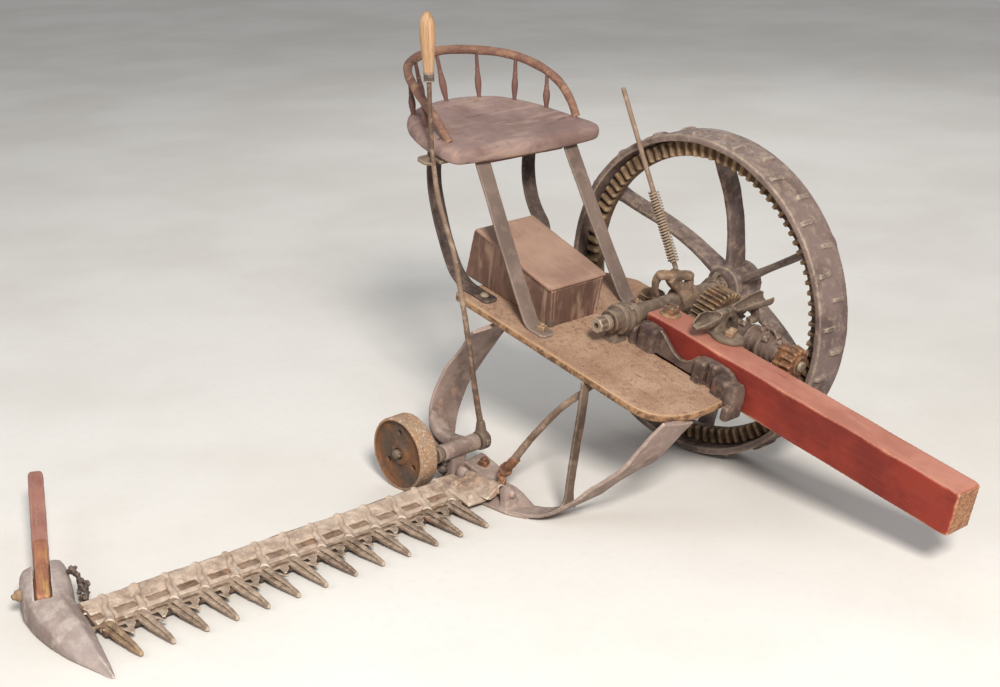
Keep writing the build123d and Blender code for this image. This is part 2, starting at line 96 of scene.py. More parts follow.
def spline(pts, per=8):
    """Points on a smooth curve through the given points."""
    P = [Vector(p) for p in pts]
    out = []
    n = len(P)
    for i in range(n - 1):
        a, b, c, d = P[max(i - 1, 0)], P[i], P[i + 1], P[min(i + 2, n - 1)]
        for k in range(per):
            t = k / per
            out.append(0.5 * ((2 * b) + (c - a) * t + (2 * a - 5 * b + 4 * c - d) * t * t + (3 * b - a - 3 * c + d) * t ** 3))
    out.append(P[-1])
    return out


def lerp(a, b, t):
    return a + (b - a) * t


def table_at(tab, x):
    """Linear look-up in ((x, value...), ...)."""
    if x <= tab[0][0]:
        return tab[0][1:]
    for p, q in zip(tab, tab[1:]):
        if x <= q[0]:
            t = (x - p[0]) / (q[0] - p[0])
            return tuple(lerp(a, b, t) for a, b in zip(p[1:], q[1:]))
    return tab[-1][1:]


def frame_at(o, z, x=None):
    """Matrix at o with its Z along z."""
    z = Vector(z).normalized()
    x = Vector(x) if x is not None else (Vector((1, 0, 0)) if abs(z.x) < 0.9 else Vector((0, 1, 0)))
    x = (x - z * x.dot(z)).normalized()
    y = z.cross(x)
    m = Matrix((x, y, z)).transposed().to_4x4()
    m.translation = Vector(o)
    return m


def rrect(w, h, r, n=3):
    """Rounded rectangle, counter-clockwise."""
    r = min(r, w / 2 - 1e-6, h / 2 - 1e-6)
    out = []
    for cx, cy, a0 in ((w / 2 - r, h / 2 - r, 0), (-w / 2 + r, h / 2 - r, 90), (-w / 2 + r, -h / 2 + r, 180), (w / 2 - r, -h / 2 + r, 270)):
        for k in range(n + 1):
            a = radians(a0 + 90 * k / n)
            out.append((cx + r * cos(a), cy + r * sin(a)))
    return out


def circle(r, n=16, sx=1.0, sy=1.0):
    return [(r * sx * cos(2 * pi * k / n), r * sy * sin(2 * pi * k / n)) for k in range(n)]


# ------------------------------------------------------------------ mesh builder
class Kit:
    """Closed shells, given in millimetres of a frame, gathered into one mesh."""

    def __init__(self, m, store=None):
        self.m = m
        self.v, self.f = store if store is not None else ([], [])

    def at(self, m):
        return Kit(self.m @ m, (self.v, self.f))

    def to(self, m):
        return Kit(m, (self.v, self.f))

    def rings(self, rings, loop=False, cap=True):
        b, n, R = len(self.v), len(rings[0]), len(rings)
        for r in rings:
            for p in r:
                self.v.append(tuple(self.m @ Vector(p)))
        for i in range(R if loop else R - 1):
            a, c = b + i * n, b + ((i + 1) % R) * n
            for j in range(n):
                k = (j + 1) % n
                self.f.append((a + j, a + k, c + k, c + j))
        if not loop and cap:
            self.f.append(tuple(b + j for j in reversed(range(n))))
            self.f.append(tuple(b + (R - 1) * n + j for j in range(n)))
        return self

    def box(self, x0, x1, y0, y1, z0, z1):
        return self.rings([[(x0, y0, z), (x1, y0, z), (x1, y1, z), (x0, y1, z)] for z in (z0, z1)])

    def rbox(self, x0, x1, y0, y1, z0, z1, r=2.0, n=3):
        """Box with rounded edges: rounded outline, and two rounded steps at top and bottom."""
        w, d = x1 - x0, y1 - y0
        r = min(r, (z1 - z0) / 2.01, w / 2.01, d / 2.01)
        c = Matrix.Translation(((x0 + x1) / 2, (y0 + y1) / 2, 0))
        out = []
        for k in range(n + 1):
            a = pi / 2 * k / n
            out.append((z0 + r - r * cos(a), r - r * sin(a)))
        for k in range(n + 1):
            a = pi / 2 * k / n
            out.append((z1 - r + r * sin(a), r - r * cos(a)))
        rings = []
        for z, ins in out:
            rings.append([(x, y, z) for x, y in rrect(w - 2 * ins, d - 2 * ins, max(r - ins, 0.05) + 0.2, n)])
        self.at(c).rings(rings)
        return self

    def cyl(self, a, b, r0, r1=None, seg=24):
        r1 = r0 if r1 is None else r1
        a, b = Vector(a), Vector(b)
        k = self.at(frame_at(a, b - a))
        L = (b - a).length
        return k.rings([[(x, y, 0) for x, y in circle(r0, seg)], [(x, y, L) for x, y in circle(r1, seg)]]) and self

    def lathe(self, o, axis, prof, seg=28, x=None, squash=1.0):
        """Solid of revolution: prof is ((h, r), ...) along axis from o."""
        k = self.at(frame_at(o, axis, x))
        k.rings([[(px, py * squash, h) for px, py in circle(max(r, 0.01), seg)] for h, r in prof])
        return self

    def ring(self, o, axis, sec, seg=48):
        """Ring: sec is a closed polygon ((r, h), ...) turned round axis at o."""
        m = frame_at(o, axis)
        k = self.at(m)
        k.rings([[(r * cos(2 * pi * i / seg), r * sin(2 * pi * i / seg), h) for r, h in sec] for i in range(seg)], loop=True)
        return self

    def tube(self, pts, r, seg=12, up=None, sx=1.0, sy=1.0, cap=True):
        """Round bar along a path: r is a number or one per point."""
        P = [Vector(p) for p in pts]
        rr = r if isinstance(r, (list, tuple)) else [r] * len(P)
        rings, x = [], Vector(up) if up is not None else None
        for i, p in enumerate(P):
            t = (P[min(i + 1, len(P) - 1)] - P[max(i - 1, 0)]).normalized()
            if x is None:
                x = Vector((1, 0, 0)) if abs(t.x) < 0.9 else Vector((0, 1, 0))
            x = (x - t * x.dot(t)).normalized()
            y = t.cross(x)
            rings.append([tuple(p + x * (a * rr[i]) + y * (b * rr[i])) for a, b in circle(1, seg, sx, sy)])
        self.rings(rings, cap=cap)
        return self

    def strip(self, pts, sec, side=(1, 0, 0), scale=None):
        """Section (a along side, b across) swept along a path. scale: one (sa, sb) per point."""
        P = [Vector(p) for p in pts]
        rings = []
        for i, p in enumerate(P):
            t = (P[min(i + 1, len(P) - 1)] - P[max(i - 1, 0)]).normalized()
            s = Vector(side)
            s = (s - t * s.dot(t)).normalized()
            n = s.cross(t)
            sa, sb = scale[i] if scale else (1, 1)
            rings.append([tuple(p + s * (a * sa) + n * (b * sb)) for a, b in sec])
        self.rings(rings)
        return self

    def prism(self, poly, m, a, b):
        """Polygon in the XY plane of m, from z = a to z = b."""
        self.at(m).rings([[(x, y, a) for x, y in poly], [(x, y, b) for x, y in poly]])
        return self

    def ball(self, c, rx, ry=None, rz=None, seg=20, rows=12):
        ry, rz = rx if ry is None else ry, rx if rz is None else rz
        rings = []
        for i in range(rows + 1):
            a = -pi / 2 + pi * (i + 0.001) / (rows + 0.002)
            rings.append([(c[0] + rx * cos(a) * cos(2 * pi * j / seg), c[1] + ry * cos(a) * sin(2 * pi * j / seg), c[2] + rz * sin(a)) for j in range(seg)])
        self.rings(rings)
        return self

    def nut(self, o, axis, size, h, sides=4, turn=0.0, stud=None, stud_h=0.0, x=None):
        """Worn nut, flats across size, with the end of its bolt."""
        k = self.at(frame_at(o, axis, x) @ Matrix.Rotation(radians(turn), 4, "Z"))
        R = size / 2 / cos(pi / sides)

        def pol(s, z):
            pts = []
            for i in range(sides):
                a0, a1 = 2 * pi * i / sides + pi / sides, 2 * pi * (i + 1) / sides + pi / sides
                p, q = (R * s * cos(a0), R * s * sin(a0)), (R * s * cos(a1), R * s * sin(a1))
                for t in (0.06, 0.35, 0.65, 0.94):
                    pts.append((lerp(p[0], q[0], t), lerp(p[1], q[1], t), z))
            return pts

        k.rings([pol(0.97, 0), pol(1, h * 0.12), pol(1, h * 0.72), pol(0.95, h * 0.9), pol(0.84, h)])
        if stud:
            k.lathe((0, 0, 0), (0, 0, 1), ((0, stud), (h + stud_h * 0.7, stud), (h + stud_h, stud * 0.7)), seg=14)
        return self

    def cad(self, name):
        """A copy of a CAD node's shells."""
        me = N[name].data
        b = len(self.v)
        self.v.extend(tuple(v.co) for v in me.vertices)
        self.f.extend(tuple(b + i for i in p.vertices) for p in me.polygons)
        return self


def to_mesh(name, kit, weld=1e-6):
    me = bpy.data.meshes.new(name)
    me.from_pydata(kit.v, [], kit.f)
    bm = bmesh.new()
    bm.from_mesh(me)
    bmesh.ops.remove_doubles(bm, verts=bm.verts, dist=weld)
    bmesh.ops.recalc_face_normals(bm, faces=bm.faces)
    bm.to_mesh(me)
    bm.free()
    ob = bpy.data.objects.new(name, me)
    bpy.context.scene.collection.objects.link(ob)
    return ob


def bake_mods(ob):
    dg = bpy.context.evaluated_depsgraph_get()
    dg.update()
    me = bpy.data.meshes.new_from_object(ob.evaluated_get(dg))
    old = ob.data
    ob.modifiers.clear()
    ob.data = me
    me.name = ob.name
    bpy.data.meshes.remove(old)
    return ob


def weather(ob, amount, scale, seed=0, octaves=3):
    """Moves every vertex along its normal by smooth noise of that many metres."""
    me = ob.data
    n = len(me.vertices)
    co = np.zeros(n * 3, np.float32)
    me.vertices.foreach_get("co", co)
    no = np.zeros(n * 3, np.float32)
    me.vertices.foreach_get("normal", no)
    P, Q = co.reshape(-1, 3).astype(float), no.reshape(-1, 3)
    d, a, s = np.zeros(n), 1.0, scale
    for k in range(octaves):
        d += a * value_noise(P, s, seed + k)
        a, s = a * 0.5, s * 2.1
    P = P + Q * (d * amount)[:, None]
    me.vertices.foreach_set("co", P.astype(np.float32).ravel())
    me.update()


def piece(name, kit, body, mat, stands=(), voxel=None, smooth=2, rough=None, decimate=None, bevel=None, seed=1, sharp=38):
    """A finished piece. voxel: remesh size in mm, which fuses the shells into one casting. bevel: edge width in mm for crisp work."""
    ob = to_mesh(name, kit)
    if voxel:
        m = ob.modifiers.new("r", "REMESH")
        m.mode, m.voxel_size = "VOXEL", voxel / 1000
        if smooth:
            m = ob.modifiers.new("s", "SMOOTH")
            m.factor, m.iterations = 0.5, smooth
        bake_mods(ob)
    elif bevel:
        m = ob.modifiers.new("b", "BEVEL")
        m.width, m.segments, m.limit_method, m.angle_limit = bevel / 1000, 3, "ANGLE", radians(30)
        m.harden_normals = False
        bake_mods(ob)
    if rough:
        weather(ob, rough[0] / 1000, 1000 / rough[1], seed)
    if decimate:
        m = ob.modifiers.new("d", "DECIMATE")
        m.ratio = decimate
        bake_mods(ob)
    me = ob.data
    me.shade_smooth()
    if not voxel:
        me.set_sharp_from_angle(angle=radians(sharp))
    me.materials.clear()
    for q in (mat if isinstance(mat, (list, tuple)) else [mat]):
        me.materials.append(q)
    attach(ob, body)
    if stands:
        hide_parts(*stands)
    return ob


def dress(node, mat, bevel=None, angle=30):
    """Gives a CAD node its material and, if asked, softened edges."""
    ob = N[node]
    for s in range(max(1, len(ob.data.materials))):
        if s >= len(ob.material_slots):
            ob.data.materials.append(mat)
        ob.material_slots[s].link = "OBJECT"
        ob.material_slots[s].material = mat
    if bevel:
        m = ob.modifiers.new("edge", "BEVEL")
        m.width, m.segments, m.limit_method, m.angle_limit = bevel / 1000, 2, "ANGLE", radians(angle)
    return ob


# ------------------------------------------------------------------ materials
class Graph:
    def __init__(self, name):
        self.mat = bpy.data.materials.new(name)
        self.mat.use_nodes = True
        self.t = self.mat.node_tree
        self.t.nodes.clear()
        out = self.t.nodes.new("ShaderNodeOutputMaterial")
        self.p = self.t.nodes.new("ShaderNodeBsdfPrincipled")
        self.t.links.new(self.p.outputs[0], out.inputs[0])
        tc = self.t.nodes.new("ShaderNodeTexCoord")
        self.obj = tc.outputs["Object"]
        self.normal = tc.outputs["Normal"]
        self.geo = self.t.nodes.new("ShaderNodeNewGeometry")

    def node(self, kind, **kw):
        n = self.t.nodes.new(kind)
        for k, v in kw.items():
            setattr(n, k, v)
        return n

    def put(self, sock, v):
        if isinstance(v, bpy.types.NodeSocket):
            self.t.links.new(v, sock)
        elif v is not None:
            if isinstance(v, (tuple, list)) and len(v) == 3 and sock.type == "RGBA":
                v = (*v, 1.0)
            sock.default_value = v

    def mapping(self, vec, loc=(0, 0, 0), rot=(0, 0, 0), scale=(1, 1, 1)):
        n = self.node("ShaderNodeMapping")
        self.put(n.inputs["Vector"], vec)
        n.inputs["Location"].default_value = loc
        n.inputs["Rotation"].default_value = rot
        n.inputs["Scale"].default_value = scale
        return n.outputs[0]

    def noise(self, vec, scale, detail=4.0, rough=0.55, dist=0.0):
        n = self.node("ShaderNodeTexNoise")
        self.put(n.inputs["Vector"], vec)
        n.inputs["Scale"].default_value = scale
        n.inputs["Detail"].default_value = detail
        n.inputs["Roughness"].default_value = rough
        n.inputs["Distortion"].default_value = dist
        return n.outputs["Fac"]

    def voronoi(self, vec, scale, feature="F1", rnd=1.0):
        n = self.node("ShaderNodeTexVoronoi", feature=feature)
        self.put(n.inputs["Vector"], vec)
        n.inputs["Scale"].default_value = scale
        n.inputs["Randomness"].default_value = rnd
        return n.outputs["Distance"]

    def step(self, v, lo, hi, a=0.0, b=1.0, kind="SMOOTHSTEP"):
        n = self.node("ShaderNodeMapRange", interpolation_type=kind)
        self.put(n.inputs["Value"], v)
        n.inputs["From Min"].default_value = lo
        n.inputs["From Max"].default_value = hi
        n.inputs["To Min"].default_value = a
        n.inputs["To Max"].default_value = b
        return n.outputs[0]

    def math(self, op, a, b=None, c=None, clamp=False):
        n = self.node("ShaderNodeMath", operation=op)
        n.use_clamp = clamp
        self.put(n.inputs[0], a)
        if b is not None:
            self.put(n.inputs[1], b)
        if c is not None:
            self.put(n.inputs[2], c)
        return n.outputs[0]

    def mix(self, fac, a, b, mode="MIX"):
        n = self.node("ShaderNodeMix", data_type="RGBA", blend_type=mode)
        self.put(n.inputs[0], fac)
        self.put(n.inputs[6], a)
        self.put(n.inputs[7], b)
        return n.outputs[2]

    def axis(self, vec, k):
        n = self.node("ShaderNodeSeparateXYZ")
        self.put(n.inputs[0], vec)
        return n.outputs[k]

    def bump(self, height, strength, distance, normal=None):
        n = self.node("ShaderNodeBump")
        self.put(n.inputs["Height"], height)
        n.inputs["Strength"].default_value = strength
        n.inputs["Distance"].default_value = distance
        if normal is not None:
            self.put(n.inputs["Normal"], normal)
        return n.outputs[0]

    def done(self, colour, rough, normal=None, metallic=0.0, spec=0.5):
        self.put(self.p.inputs["Base Color"], colour)
        self.put(self.p.inputs["Roughness"], rough)
        self.put(self.p.inputs["Metallic"], metallic)
        self.p.inputs["Specular IOR Level"].default_value = spec
        if normal is not None:
            self.put(self.p.inputs["Normal"], normal)
        return self.mat


def srgb(*c):
    """0-255 display colour to linear."""
    out = []
    for v in c:
        v = v / 255
        out.append(v / 12.92 if v <= 0.04045 else ((v + 0.055) / 1.055) ** 2.4)
    return tuple(out)


def iron(name, base, dark, light, rust=None, rust_amount=0.5, dust=None, dust_amount=0.3, edge=None, edge_amount=0.6, rough=(0.55, 0.85),
         metallic=0.0, pits=0.6, scale=1.0, spec=0.35, seed=0):
    """Old cast or forged iron: three tones, rust blooms, dust on what faces up, rubbed edges, painted shade in the
    hollows, pitted skin.
    """
    g = Graph(name)
    v = g.mapping(g.obj, loc=(seed * 1.7, seed * 0.9, seed * 2.3))
    a = g.noise(v, 8 * scale, 6, 0.6, 0.3)
    b = g.noise(v, 42 * scale, 6, 0.65)
    c = g.noise(v, 190 * scale, 5, 0.7)
    f = g.noise(v, 900, 3, 0.6)
    col = g.mix(g.step(a, 0.40, 0.62), base, dark)
    col = g.mix(g.math("MULTIPLY", g.step(b, 0.50, 0.68), 0.75), col, light)
    if rust:
        m = g.math("MULTIPLY", g.step(g.math("ADD", g.math("MULTIPLY", b, 0.55), g.math("MULTIPLY", a, 0.45)), 0.60 - 0.22 * rust_amount, 0.70 - 0.18 * rust_amount), 0.85)
        col = g.mix(m, col, rust)
    col = g.mix(g.step(c, 0.52, 0.70, 0.0, 0.45), col, dark)
    col = g.mix(g.step(f, 0.55, 0.75, 0.0, 0.35), col, light)
    if dust:
        up = g.step(g.axis(g.geo.outputs["Normal"], 2), 0.35, 0.95)
        m = g.math("MULTIPLY", g.math("MULTIPLY", up, g.step(b, 0.35, 0.62)), dust_amount)
        col = g.mix(m, col, dust)
    pt = g.geo.outputs["Pointiness"]
    if edge:
        m = g.math("MULTIPLY", g.step(g.math("ADD", pt, g.math("MULTIPLY", g.math("SUBTRACT", c, 0.5), 0.06)), 0.515, 0.575), edge_amount)
        col = g.mix(m, col, edge)
    # painted shade: hollows and creases darkened towards a deep tone where light would not reach
    col = g.mix(g.step(pt, 0.40, 0.49, 0.7, 0.0), col, tuple(x * 0.45 for x in dark))
    rg = g.math("ADD", g.step(b, 0.3, 0.7, rough[1], rough[0]), g.math("MULTIPLY", g.math("SUBTRACT", c, 0.5), 0.25), clamp=True)
    pit = g.step(g.voronoi(v, 330, "F1"), 0.05, 0.42)
    h = g.math("ADD", g.math("MULTIPLY", c, 0.9), g.math("MULTIPLY", pit, 0.35 * pits))
    h = g.math("ADD", h, g.math("MULTIPLY", f, 0.30))
    n = g.bump(h, 0.65, 0.0011)
    return g.done(col, rg, n, metallic, spec)


def timber(name, grain, rot=(0, 0, 0), bare=((0.45, 0.3, 0.2),) * 3, paint=None, paint_dark=None, cover=0.7, worn_edge=None, edge_amount=0.7, cracks=0.6,
           rough=(0.6, 0.85), scale=1.0, dirt=None, dirt_amount=0.35, spec=0.25, seed=0, bump=1.0, light=None, light_amount=0.3):
    """Old timber. grain is the axis of its fibres, after rot turns the row frame to the board's. Paint wears off along the grain and at edges."""
    g = Graph(name)
    v = g.mapping(g.obj, loc=(seed * 0.61, seed * 0.37, seed * 0.83), rot=rot)
    s = [1.0, 1.0, 1.0]
    s["XYZ".index(grain)] = 0.045
    w = g.mapping(v, scale=tuple(s))
    s2 = [1.0, 1.0, 1.0]
    s2["XYZ".index(grain)] = 0.18
    w2 = g.mapping(v, scale=tuple(s2))
    wave = g.noise(w, 38 * scale, 3, 0.5, 1.2)
    fine = g.noise(w, 260 * scale, 5, 0.65, 0.2)
    hair = g.noise(w, 760 * scale, 3, 0.6)
    big = g.noise(v, 7 * scale, 5, 0.55)
    blot = g.noise(w2, 30 * scale, 6, 0.6, 0.4)
    spk = g.noise(v, 420, 4, 0.65)
    col = g.mix(g.step(wave, 0.38, 0.62), bare[0], bare[1])
    col = g.mix(g.step(fine, 0.42, 0.68, 0.0, 0.75), col, bare[2])
    col = g.mix(g.step(big, 0.35, 0.70, 0.0, 0.45), col, bare[1])
    keep = None
    if paint:
        field = g.math("ADD", g.math("MULTIPLY", blot, 0.6), g.math("ADD", g.math("MULTIPLY", fine, 0.22), g.math("MULTIPLY", spk, 0.18)))
        keep = g.step(field, 0.62 - 0.34 * cover, 0.70 - 0.34 * cover)
        pc = g.mix(g.step(big, 0.36, 0.66), paint, paint_dark or tuple(x * 0.7 for x in paint))
        pc = g.mix(g.step(fine, 0.5, 0.75, 0.0, 0.35), pc, tuple(min(1, x * 1.25) for x in paint))
        col = g.mix(keep, col, pc)
    if light:
        col = g.mix(g.math("MULTIPLY", g.step(blot, 0.50, 0.66), light_amount), col, light)
    if dirt:
        col = g.mix(g.math("MULTIPLY", g.step(g.noise(v, 24 * scale, 7, 0.65, 0.5), 0.52, 0.68), dirt_amount), col, dirt)
    pt = g.geo.outputs["Pointiness"]
    if worn_edge:
        m = g.math("MULTIPLY", g.step(g.math("ADD", pt, g.math("MULTIPLY", g.math("SUBTRACT", blot, 0.5), 0.10)), 0.512, 0.56), edge_amount)
        col = g.mix(m, col, worn_edge)
    crack = g.step(g.noise(w, 120 * scale, 4, 0.5, 0.6), 0.655, 0.70)
    crack = g.math("MULTIPLY", crack, g.step(g.noise(v, 16 * scale, 3, 0.5), 0.48, 0.60))
    col = g.mix(g.math("MULTIPLY", crack, cracks), col, tuple(x * 0.22 for x in bare[2]))
    h = g.math("ADD", g.math("MULTIPLY", fine, 0.55), g.math("MULTIPLY", hair, 0.35))
    h = g.math("ADD", h, g.math("MULTIPLY", spk, 0.22))
    h = g.math("SUBTRACT", h, g.math("MULTIPLY", crack, 1.1 * cracks))
    if keep is not None:
        h = g.math("ADD", h, g.math("MULTIPLY", keep, 0.25))
    n = g.bump(h, 0.55 * bump, 0.0010)
    rg = g.step(g.math("ADD", g.math("MULTIPLY", blot, 0.5), g.math("MULTIPLY", fine, 0.5)), 0.35, 0.65, rough[0], rough[1])
    return g.done(col, rg, n, 0.0, spec)


def inset(poly, d):
    """Polygon moved inward by d along its corner normals."""
    out, n = [], len(poly)
    area = sum(poly[i][0] * poly[(i + 1) % n][1] - poly[(i + 1) % n][0] * poly[i][1] for i in range(n))
    sgn = 1 if area > 0 else -1
    for i in range(n):
        a, b, c = Vector(poly[i - 1]), Vector(poly[i]), Vector(poly[(i + 1) % n])
        e, f = (b - a).normalized(), (c - b).normalized()
        nn = Vector((-e.y - f.y, e.x + f.x))
        L = nn.length
        nn = nn / L if L > 1e-6 else Vector((-e.y, e.x))
        q = max(0.5, nn.dot(Vector((-e.y, e.x))))
        out.append(tuple(b + nn * (sgn * d / q)))
    return out


# colours as they show in daylight
IRON_BROWN = iron("iron_brown", srgb(107, 90, 77), srgb(69, 55, 47), srgb(132, 114, 97), rust=srgb(102, 69, 51), rust_amount=0.25,
                  dust=srgb(146, 130, 113), dust_amount=0.4, edge=srgb(162, 143, 121), edge_amount=0.7, seed=1)
IRON_CAST = iron("iron_cast", srgb(100, 81, 72), srgb(64, 49, 44), srgb(122, 103, 91), rust=srgb(105, 72, 58), rust_amount=0.2,
                 dust=srgb(129, 110, 96), dust_amount=0.3, edge=srgb(163, 143, 122), edge_amount=0.85, seed=11)
IRON_YOKE = iron("iron_yoke", srgb(124, 101, 84), srgb(73, 57, 49), srgb(153, 129, 104), rust=srgb(120, 80, 57), rust_amount=0.25,
                 dust=srgb(157, 124, 96), dust_amount=0.75, edge=srgb(167, 139, 111), edge_amount=0.6, seed=31)
IRON_GREY = iron("iron_grey", srgb(116, 102, 92), srgb(74, 62, 56), srgb(146, 130, 116), rust=srgb(112, 80, 64), rust_amount=0.15,
                 dust=srgb(160, 144, 128), dust_amount=0.35, edge=srgb(172, 154, 136), edge_amount=0.6, seed=2)
# darker iron; on the rear seat irons it stands in as painted shade
IRON_DARK = iron("iron_dark", srgb(82, 68, 62), srgb(50, 41, 39), srgb(112, 96, 86), rust=srgb(98, 66, 54), rust_amount=0.2,
                 dust=srgb(128, 110, 96), dust_amount=0.25, edge=srgb(134, 116, 100), edge_amount=0.45, seed=3)
IRON_STRAP = iron("iron_strap", srgb(122, 104, 95), srgb(102, 86, 78), srgb(135, 116, 106), rust=srgb(111, 82, 69), rust_amount=0.05,
                  dust=srgb(138, 122, 109), dust_amount=0.2, edge=srgb(167, 151, 136), edge_amount=0.7, pits=0.35, scale=0.7, seed=4)
IRON_ROD = iron("iron_rod", srgb(126, 104, 88), srgb(88, 68, 56), srgb(160, 140, 120), rust=srgb(132, 88, 62), rust_amount=0.2,
                dust=srgb(170, 150, 130), dust_amount=0.3, edge=srgb(176, 156, 134), edge_amount=0.5, seed=12)
IRON_RIM = iron("iron_rim", srgb(117, 99, 93), srgb(87, 71, 67), srgb(147, 128, 117), rust=srgb(130, 104, 84), rust_amount=0.3,
                dust=srgb(160, 141, 123), dust_amount=0.35, edge=srgb(190, 173, 147), edge_amount=0.95, seed=5)
IRON_TAN = iron("iron_tan", srgb(142, 114, 90), srgb(92, 70, 56), srgb(170, 144, 114), rust=srgb(136, 92, 60), rust_amount=0.4,
                dust=srgb(176, 154, 126), dust_amount=0.35, edge=srgb(190, 166, 134), edge_amount=0.6, seed=6)
# gear iron; on the drive wheel's gear ring its darker brown is partly painted shade for the recess inside the rim
IRON_GEAR = iron("iron_gear", srgb(111, 86, 65), srgb(65, 48, 38), srgb(137, 113, 86), rust=srgb(113, 72, 48), rust_amount=0.35,
                 dust=srgb(132, 111, 86), dust_amount=0.25, edge=srgb(160, 136, 104), edge_amount=0.8, seed=13)
IRON_ORANGE = iron("iron_orange", srgb(114, 77, 53), srgb(71, 50, 38), srgb(139, 105, 76), rust=srgb(129, 79, 46), rust_amount=0.45,
                   dust=srgb(153, 129, 105), dust_amount=0.3, edge=srgb(163, 138, 108), edge_amount=0.6, seed=7)
IRON_RUST = iron("iron_rust", srgb(120, 80, 58), srgb(70, 48, 38), srgb(152, 106, 76), rust=srgb(134, 80, 50), rust_amount=0.45,
                 dust=srgb(178, 140, 112), dust_amount=0.25, edge=srgb(190, 140, 104), edge_amount=0.5, seed=14)
IRON_PALE = iron("iron_pale", srgb(169, 148, 131), srgb(128, 105, 90), srgb(193, 173, 156), rust=srgb(165, 122, 88), rust_amount=0.4,
                 dust=srgb(214, 197, 178), dust_amount=0.35, edge=srgb(229, 214, 195), edge_amount=0.7, seed=8)
IRON_POCKET = iron("iron_pocket", srgb(138, 116, 98), srgb(92, 74, 62), srgb(164, 144, 126), rust=srgb(136, 98, 70), rust_amount=0.5,
                   dust=srgb(168, 148, 130), dust_amount=0.3, edge=srgb(184, 164, 146), edge_amount=0.4, seed=32)
# dark brown iron: painted shade for the ledge that lies in the shadow under the knife
IRON_UNDER_PAINTED_SHADE = iron("iron_under_painted_shade", srgb(74, 62, 54), srgb(46, 38, 34), srgb(104, 88, 76), rust=srgb(98, 72, 56), rust_amount=0.3, edge=srgb(128, 110, 94), edge_amount=0.3, seed=33)
IRON_TEETH = iron("iron_teeth", srgb(142, 120, 102), srgb(96, 76, 62), srgb(174, 154, 134), rust=srgb(138, 98, 72), rust_amount=0.35,
                  dust=srgb(194, 176, 156), dust_amount=0.35, edge=srgb(204, 188, 168), edge_amount=0.8, seed=15)
IRON_SHOE = iron("iron_shoe", srgb(148, 127, 118), srgb(118, 98, 90), srgb(168, 150, 138), rust=srgb(146, 108, 86), rust_amount=0.2,
                 dust=srgb(180, 164, 150), dust_amount=0.35, edge=srgb(196, 180, 164), edge_amount=0.7, scale=0.8, seed=9)
IRON_LEAF = iron("iron_leaf", srgb(156, 140, 134), srgb(130, 112, 104), srgb(174, 160, 152), rust=srgb(150, 114, 88), rust_amount=0.12,
                 dust=srgb(186, 174, 164), dust_amount=0.3, edge=srgb(206, 194, 182), edge_amount=0.8, scale=0.7, seed=16)
STEEL_WORN = iron("steel_worn", srgb(120, 104, 90), srgb(80, 66, 56), srgb(156, 140, 122), rust=srgb(118, 84, 62), rust_amount=0.3,
                  edge=srgb(180, 162, 142), edge_amount=0.7, rough=(0.42, 0.70), metallic=0.2, pits=0.35, spec=0.45, seed=10)

ROT_CH = (PITCH, 0, 0)


def tongue_paint():
    """Red paint: deep on the sides, sun-faded to salmon on top, gone from the sawn end. The top is also lighter with
    painted light, and the sides darker with painted shade.
    """
    g = Graph("wood_tongue")
    v = g.mapping(g.obj, rot=ROT_CH)
    w = g.mapping(v, scale=(1, 0.05, 1))
    fine = g.noise(w, 240, 5, 0.65, 0.2)
    big = g.noise(v, 6, 5, 0.6)
    spk = g.noise(v, 330, 4, 0.7)
    blot = g.noise(g.mapping(v, scale=(1, 0.25, 1)), 26, 6, 0.62, 0.5)
    side = g.mix(g.step(big, 0.38, 0.64), srgb(128, 46, 34), srgb(104, 36, 28))
    side = g.mix(g.step(fine, 0.50, 0.74, 0, 0.35), side, srgb(144, 66, 48))
    top = g.mix(g.step(big, 0.36, 0.66), srgb(178, 122, 104), srgb(160, 102, 86))
    top = g.mix(g.step(blot, 0.52, 0.70, 0, 0.55), top, srgb(182, 132, 114))
    top = g.mix(g.step(fine, 0.54, 0.76, 0, 0.35), top, srgb(138, 72, 58))
    nz = g.axis(g.geo.outputs["Normal"], 2)
    # top faces take the salmon and sides the deeper red: partly sun-faded paint, partly painted light on the top and
    # painted shade on the sides
    col = g.mix(g.step(nz, 0.60, 0.93), side, top)
    bare = g.mix(g.step(spk, 0.42, 0.66), srgb(178, 138, 106), srgb(122, 88, 66))
    ny = g.axis(g.geo.outputs["Normal"], 1)
    rings = g.noise(g.mapping(v, scale=(1, 1, 1), loc=(0.4, 0, 0.2)), 60, 3, 0.5, 2.0)
    end = g.mix(g.step(rings, 0.44, 0.58), srgb(172, 128, 94), srgb(134, 94, 68))
    end = g.mix(g.step(spk, 0.5, 0.7, 0, 0.5), end, srgb(100, 70, 52))
    col = g.mix(g.math("MULTIPLY", g.step(ny, 0.80, 0.93), 0.9), col, end)
    chips = g.step(g.math("ADD", g.math("MULTIPLY", spk, 0.45), g.math("MULTIPLY", blot, 0.55)), 0.605, 0.655)
    col = g.mix(g.math("MULTIPLY", chips, 0.75), col, bare)
    pt = g.geo.outputs["Pointiness"]
    m = g.math("MULTIPLY", g.step(g.math("ADD", pt, g.math("MULTIPLY", g.math("SUBTRACT", blot, 0.5), 0.10)), 0.515, 0.56), 0.7)
    col = g.mix(m, col, srgb(204, 146, 116))
    crack = g.math("MULTIPLY", g.step(g.noise(w, 130, 4, 0.5, 0.5), 0.66, 0.70), g.step(g.noise(v, 12, 3, 0.5), 0.50, 0.62))
    col = g.mix(g.math("MULTIPLY", crack, 0.7), col, srgb(62, 32, 26))
    h = g.math("SUBTRACT", g.math("ADD", g.math("MULTIPLY", fine, 0.5), g.math("MULTIPLY", spk, 0.25)), g.math("MULTIPLY", crack, 0.8))
    return g.done(col, g.step(blot, 0.35, 0.65, 0.55, 0.8), g.bump(h, 0.5, 0.0010), 0.0, 0.25)


